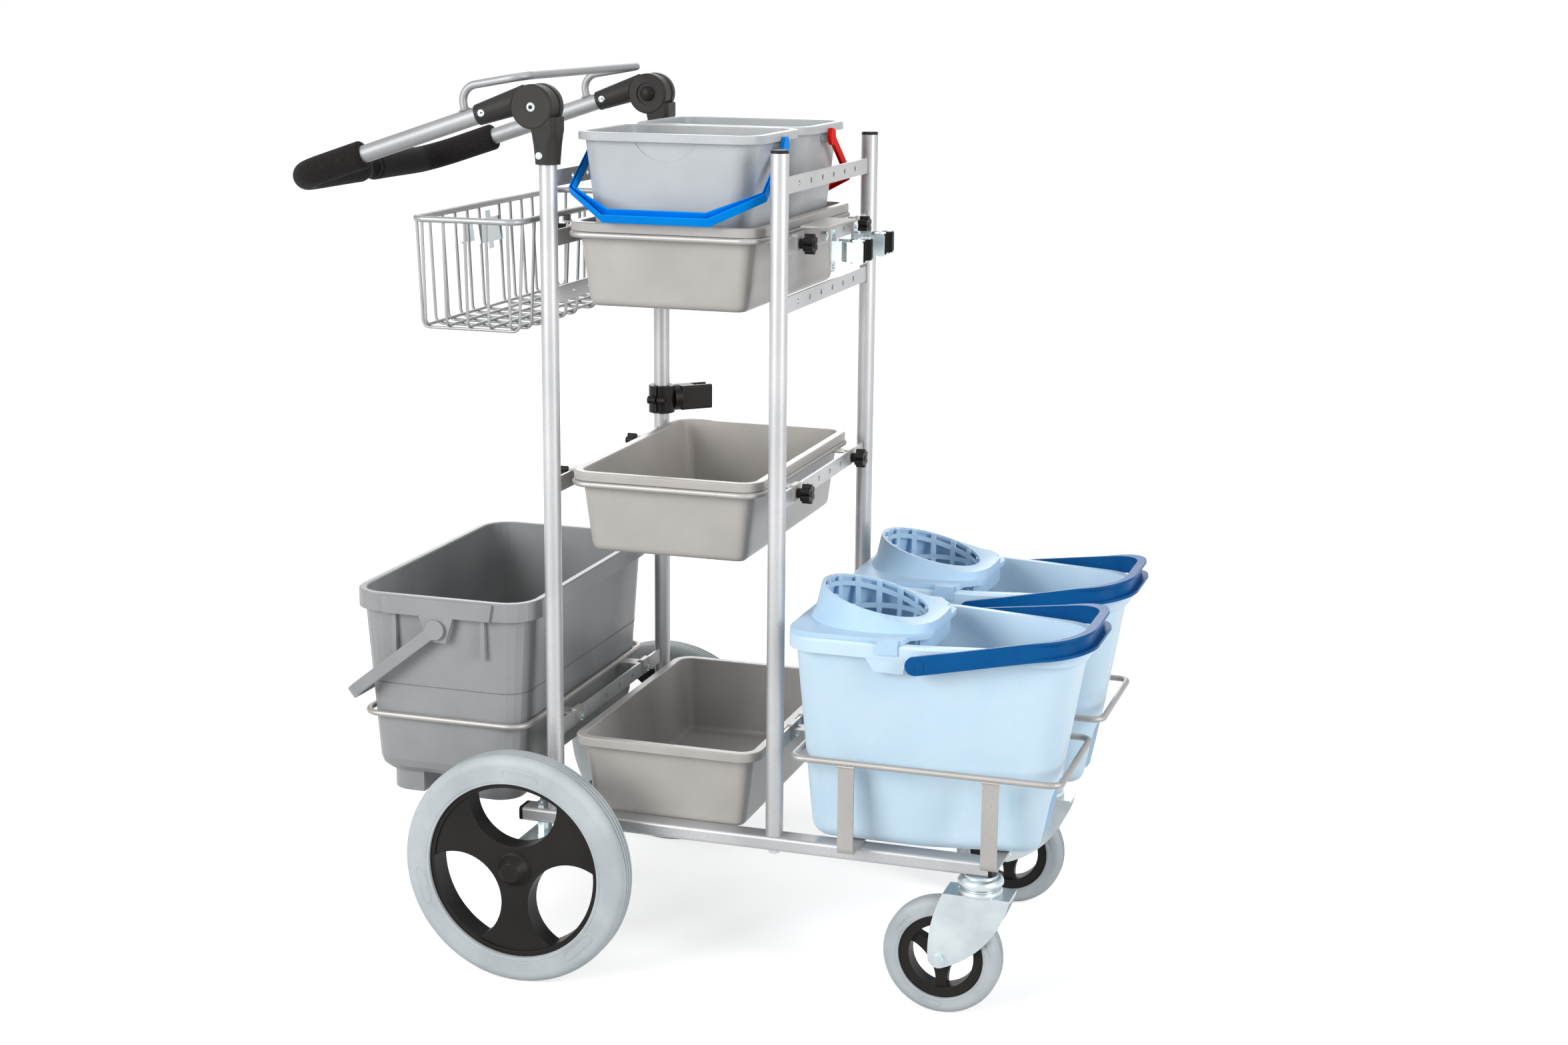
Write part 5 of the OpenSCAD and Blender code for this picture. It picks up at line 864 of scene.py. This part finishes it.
# Wire basket
# Bent and spot welded steel wire under a satin silver coat: a stout rim, wires down the sides and
# across the floor, and two sheet hooks over the tray bar.
BASKET_MIDDLE, BASKET_HALF, BASKET_FLOOR = -98, (71, 225), (65, 220)
BASKET_RIM_Z, BASKET_LOW = 957, 822
WIRE_R, RIM_R, WIRE_BEND, RIM_BEND = 2, 4, 9, 18
CROSS_START, CROSS_PITCH, CROSS_COUNT = 31, 36, 6
LONG_INSET, WELD_SINK = 8, 0.4
HOOK_Y, HOOK_HALF = 72, 12
HOOK_PLATES = (((-27, 945.3), (3.8, 947.3)), ((-29, 945.3), (-27, 957)), ((1.8, 932), (3.8, 947.3)))


def basket_point(x, y, z):
    return at(BASKET_MIDDLE + x, y, z)


def basket_wire(ends, bend_at):
    # down one side, across the floor and up the other side
    path = bent_path([ends[0], bend_at[0], bend_at[1], ends[1]], WIRE_BEND * MM)
    return swept(path, WIRE_R * MM, 10)


rim = [basket_point(u, v, BASKET_RIM_Z) for u, v in rounded_box_path(*BASKET_HALF, RIM_BEND, 8)]
wires = [swept(rim, RIM_R * MM, 12, True)]
for y in (t * (CROSS_START + CROSS_PITCH * k) for t in (-1, 1) for k in range(CROSS_COUNT)):
    wires.append(basket_wire([basket_point(t * BASKET_HALF[0], y, BASKET_RIM_Z) for t in (-1, 1)],
                             [basket_point(t * BASKET_FLOOR[0], y, BASKET_LOW) for t in (-1, 1)]))
for x in (k * (BASKET_FLOOR[0] - LONG_INSET) / 2 for k in range(-2, 3)):
    low = BASKET_LOW + 2 * WIRE_R - WELD_SINK
    wires.append(basket_wire([basket_point(x, t * BASKET_HALF[1], BASKET_RIM_Z) for t in (-1, 1)],
                             [basket_point(x, t * BASKET_FLOOR[1], low) for t in (-1, 1)]))
for y in (-HOOK_Y, HOOK_Y):
    for low, high in HOOK_PLATES:
        points, faces = block((low[0], y - HOOK_HALF, low[1]), (high[0], y + HOOK_HALF, high[1]))
        wires.append(([at(*p) for p in points], faces))
wire_silver = powder_coat("satin silver coat on wire", "#949596", "#B2B3B4", 0.42)
basket = piece("basket_wires", wires, wire_silver, "wire_basket")
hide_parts("wire_basket")
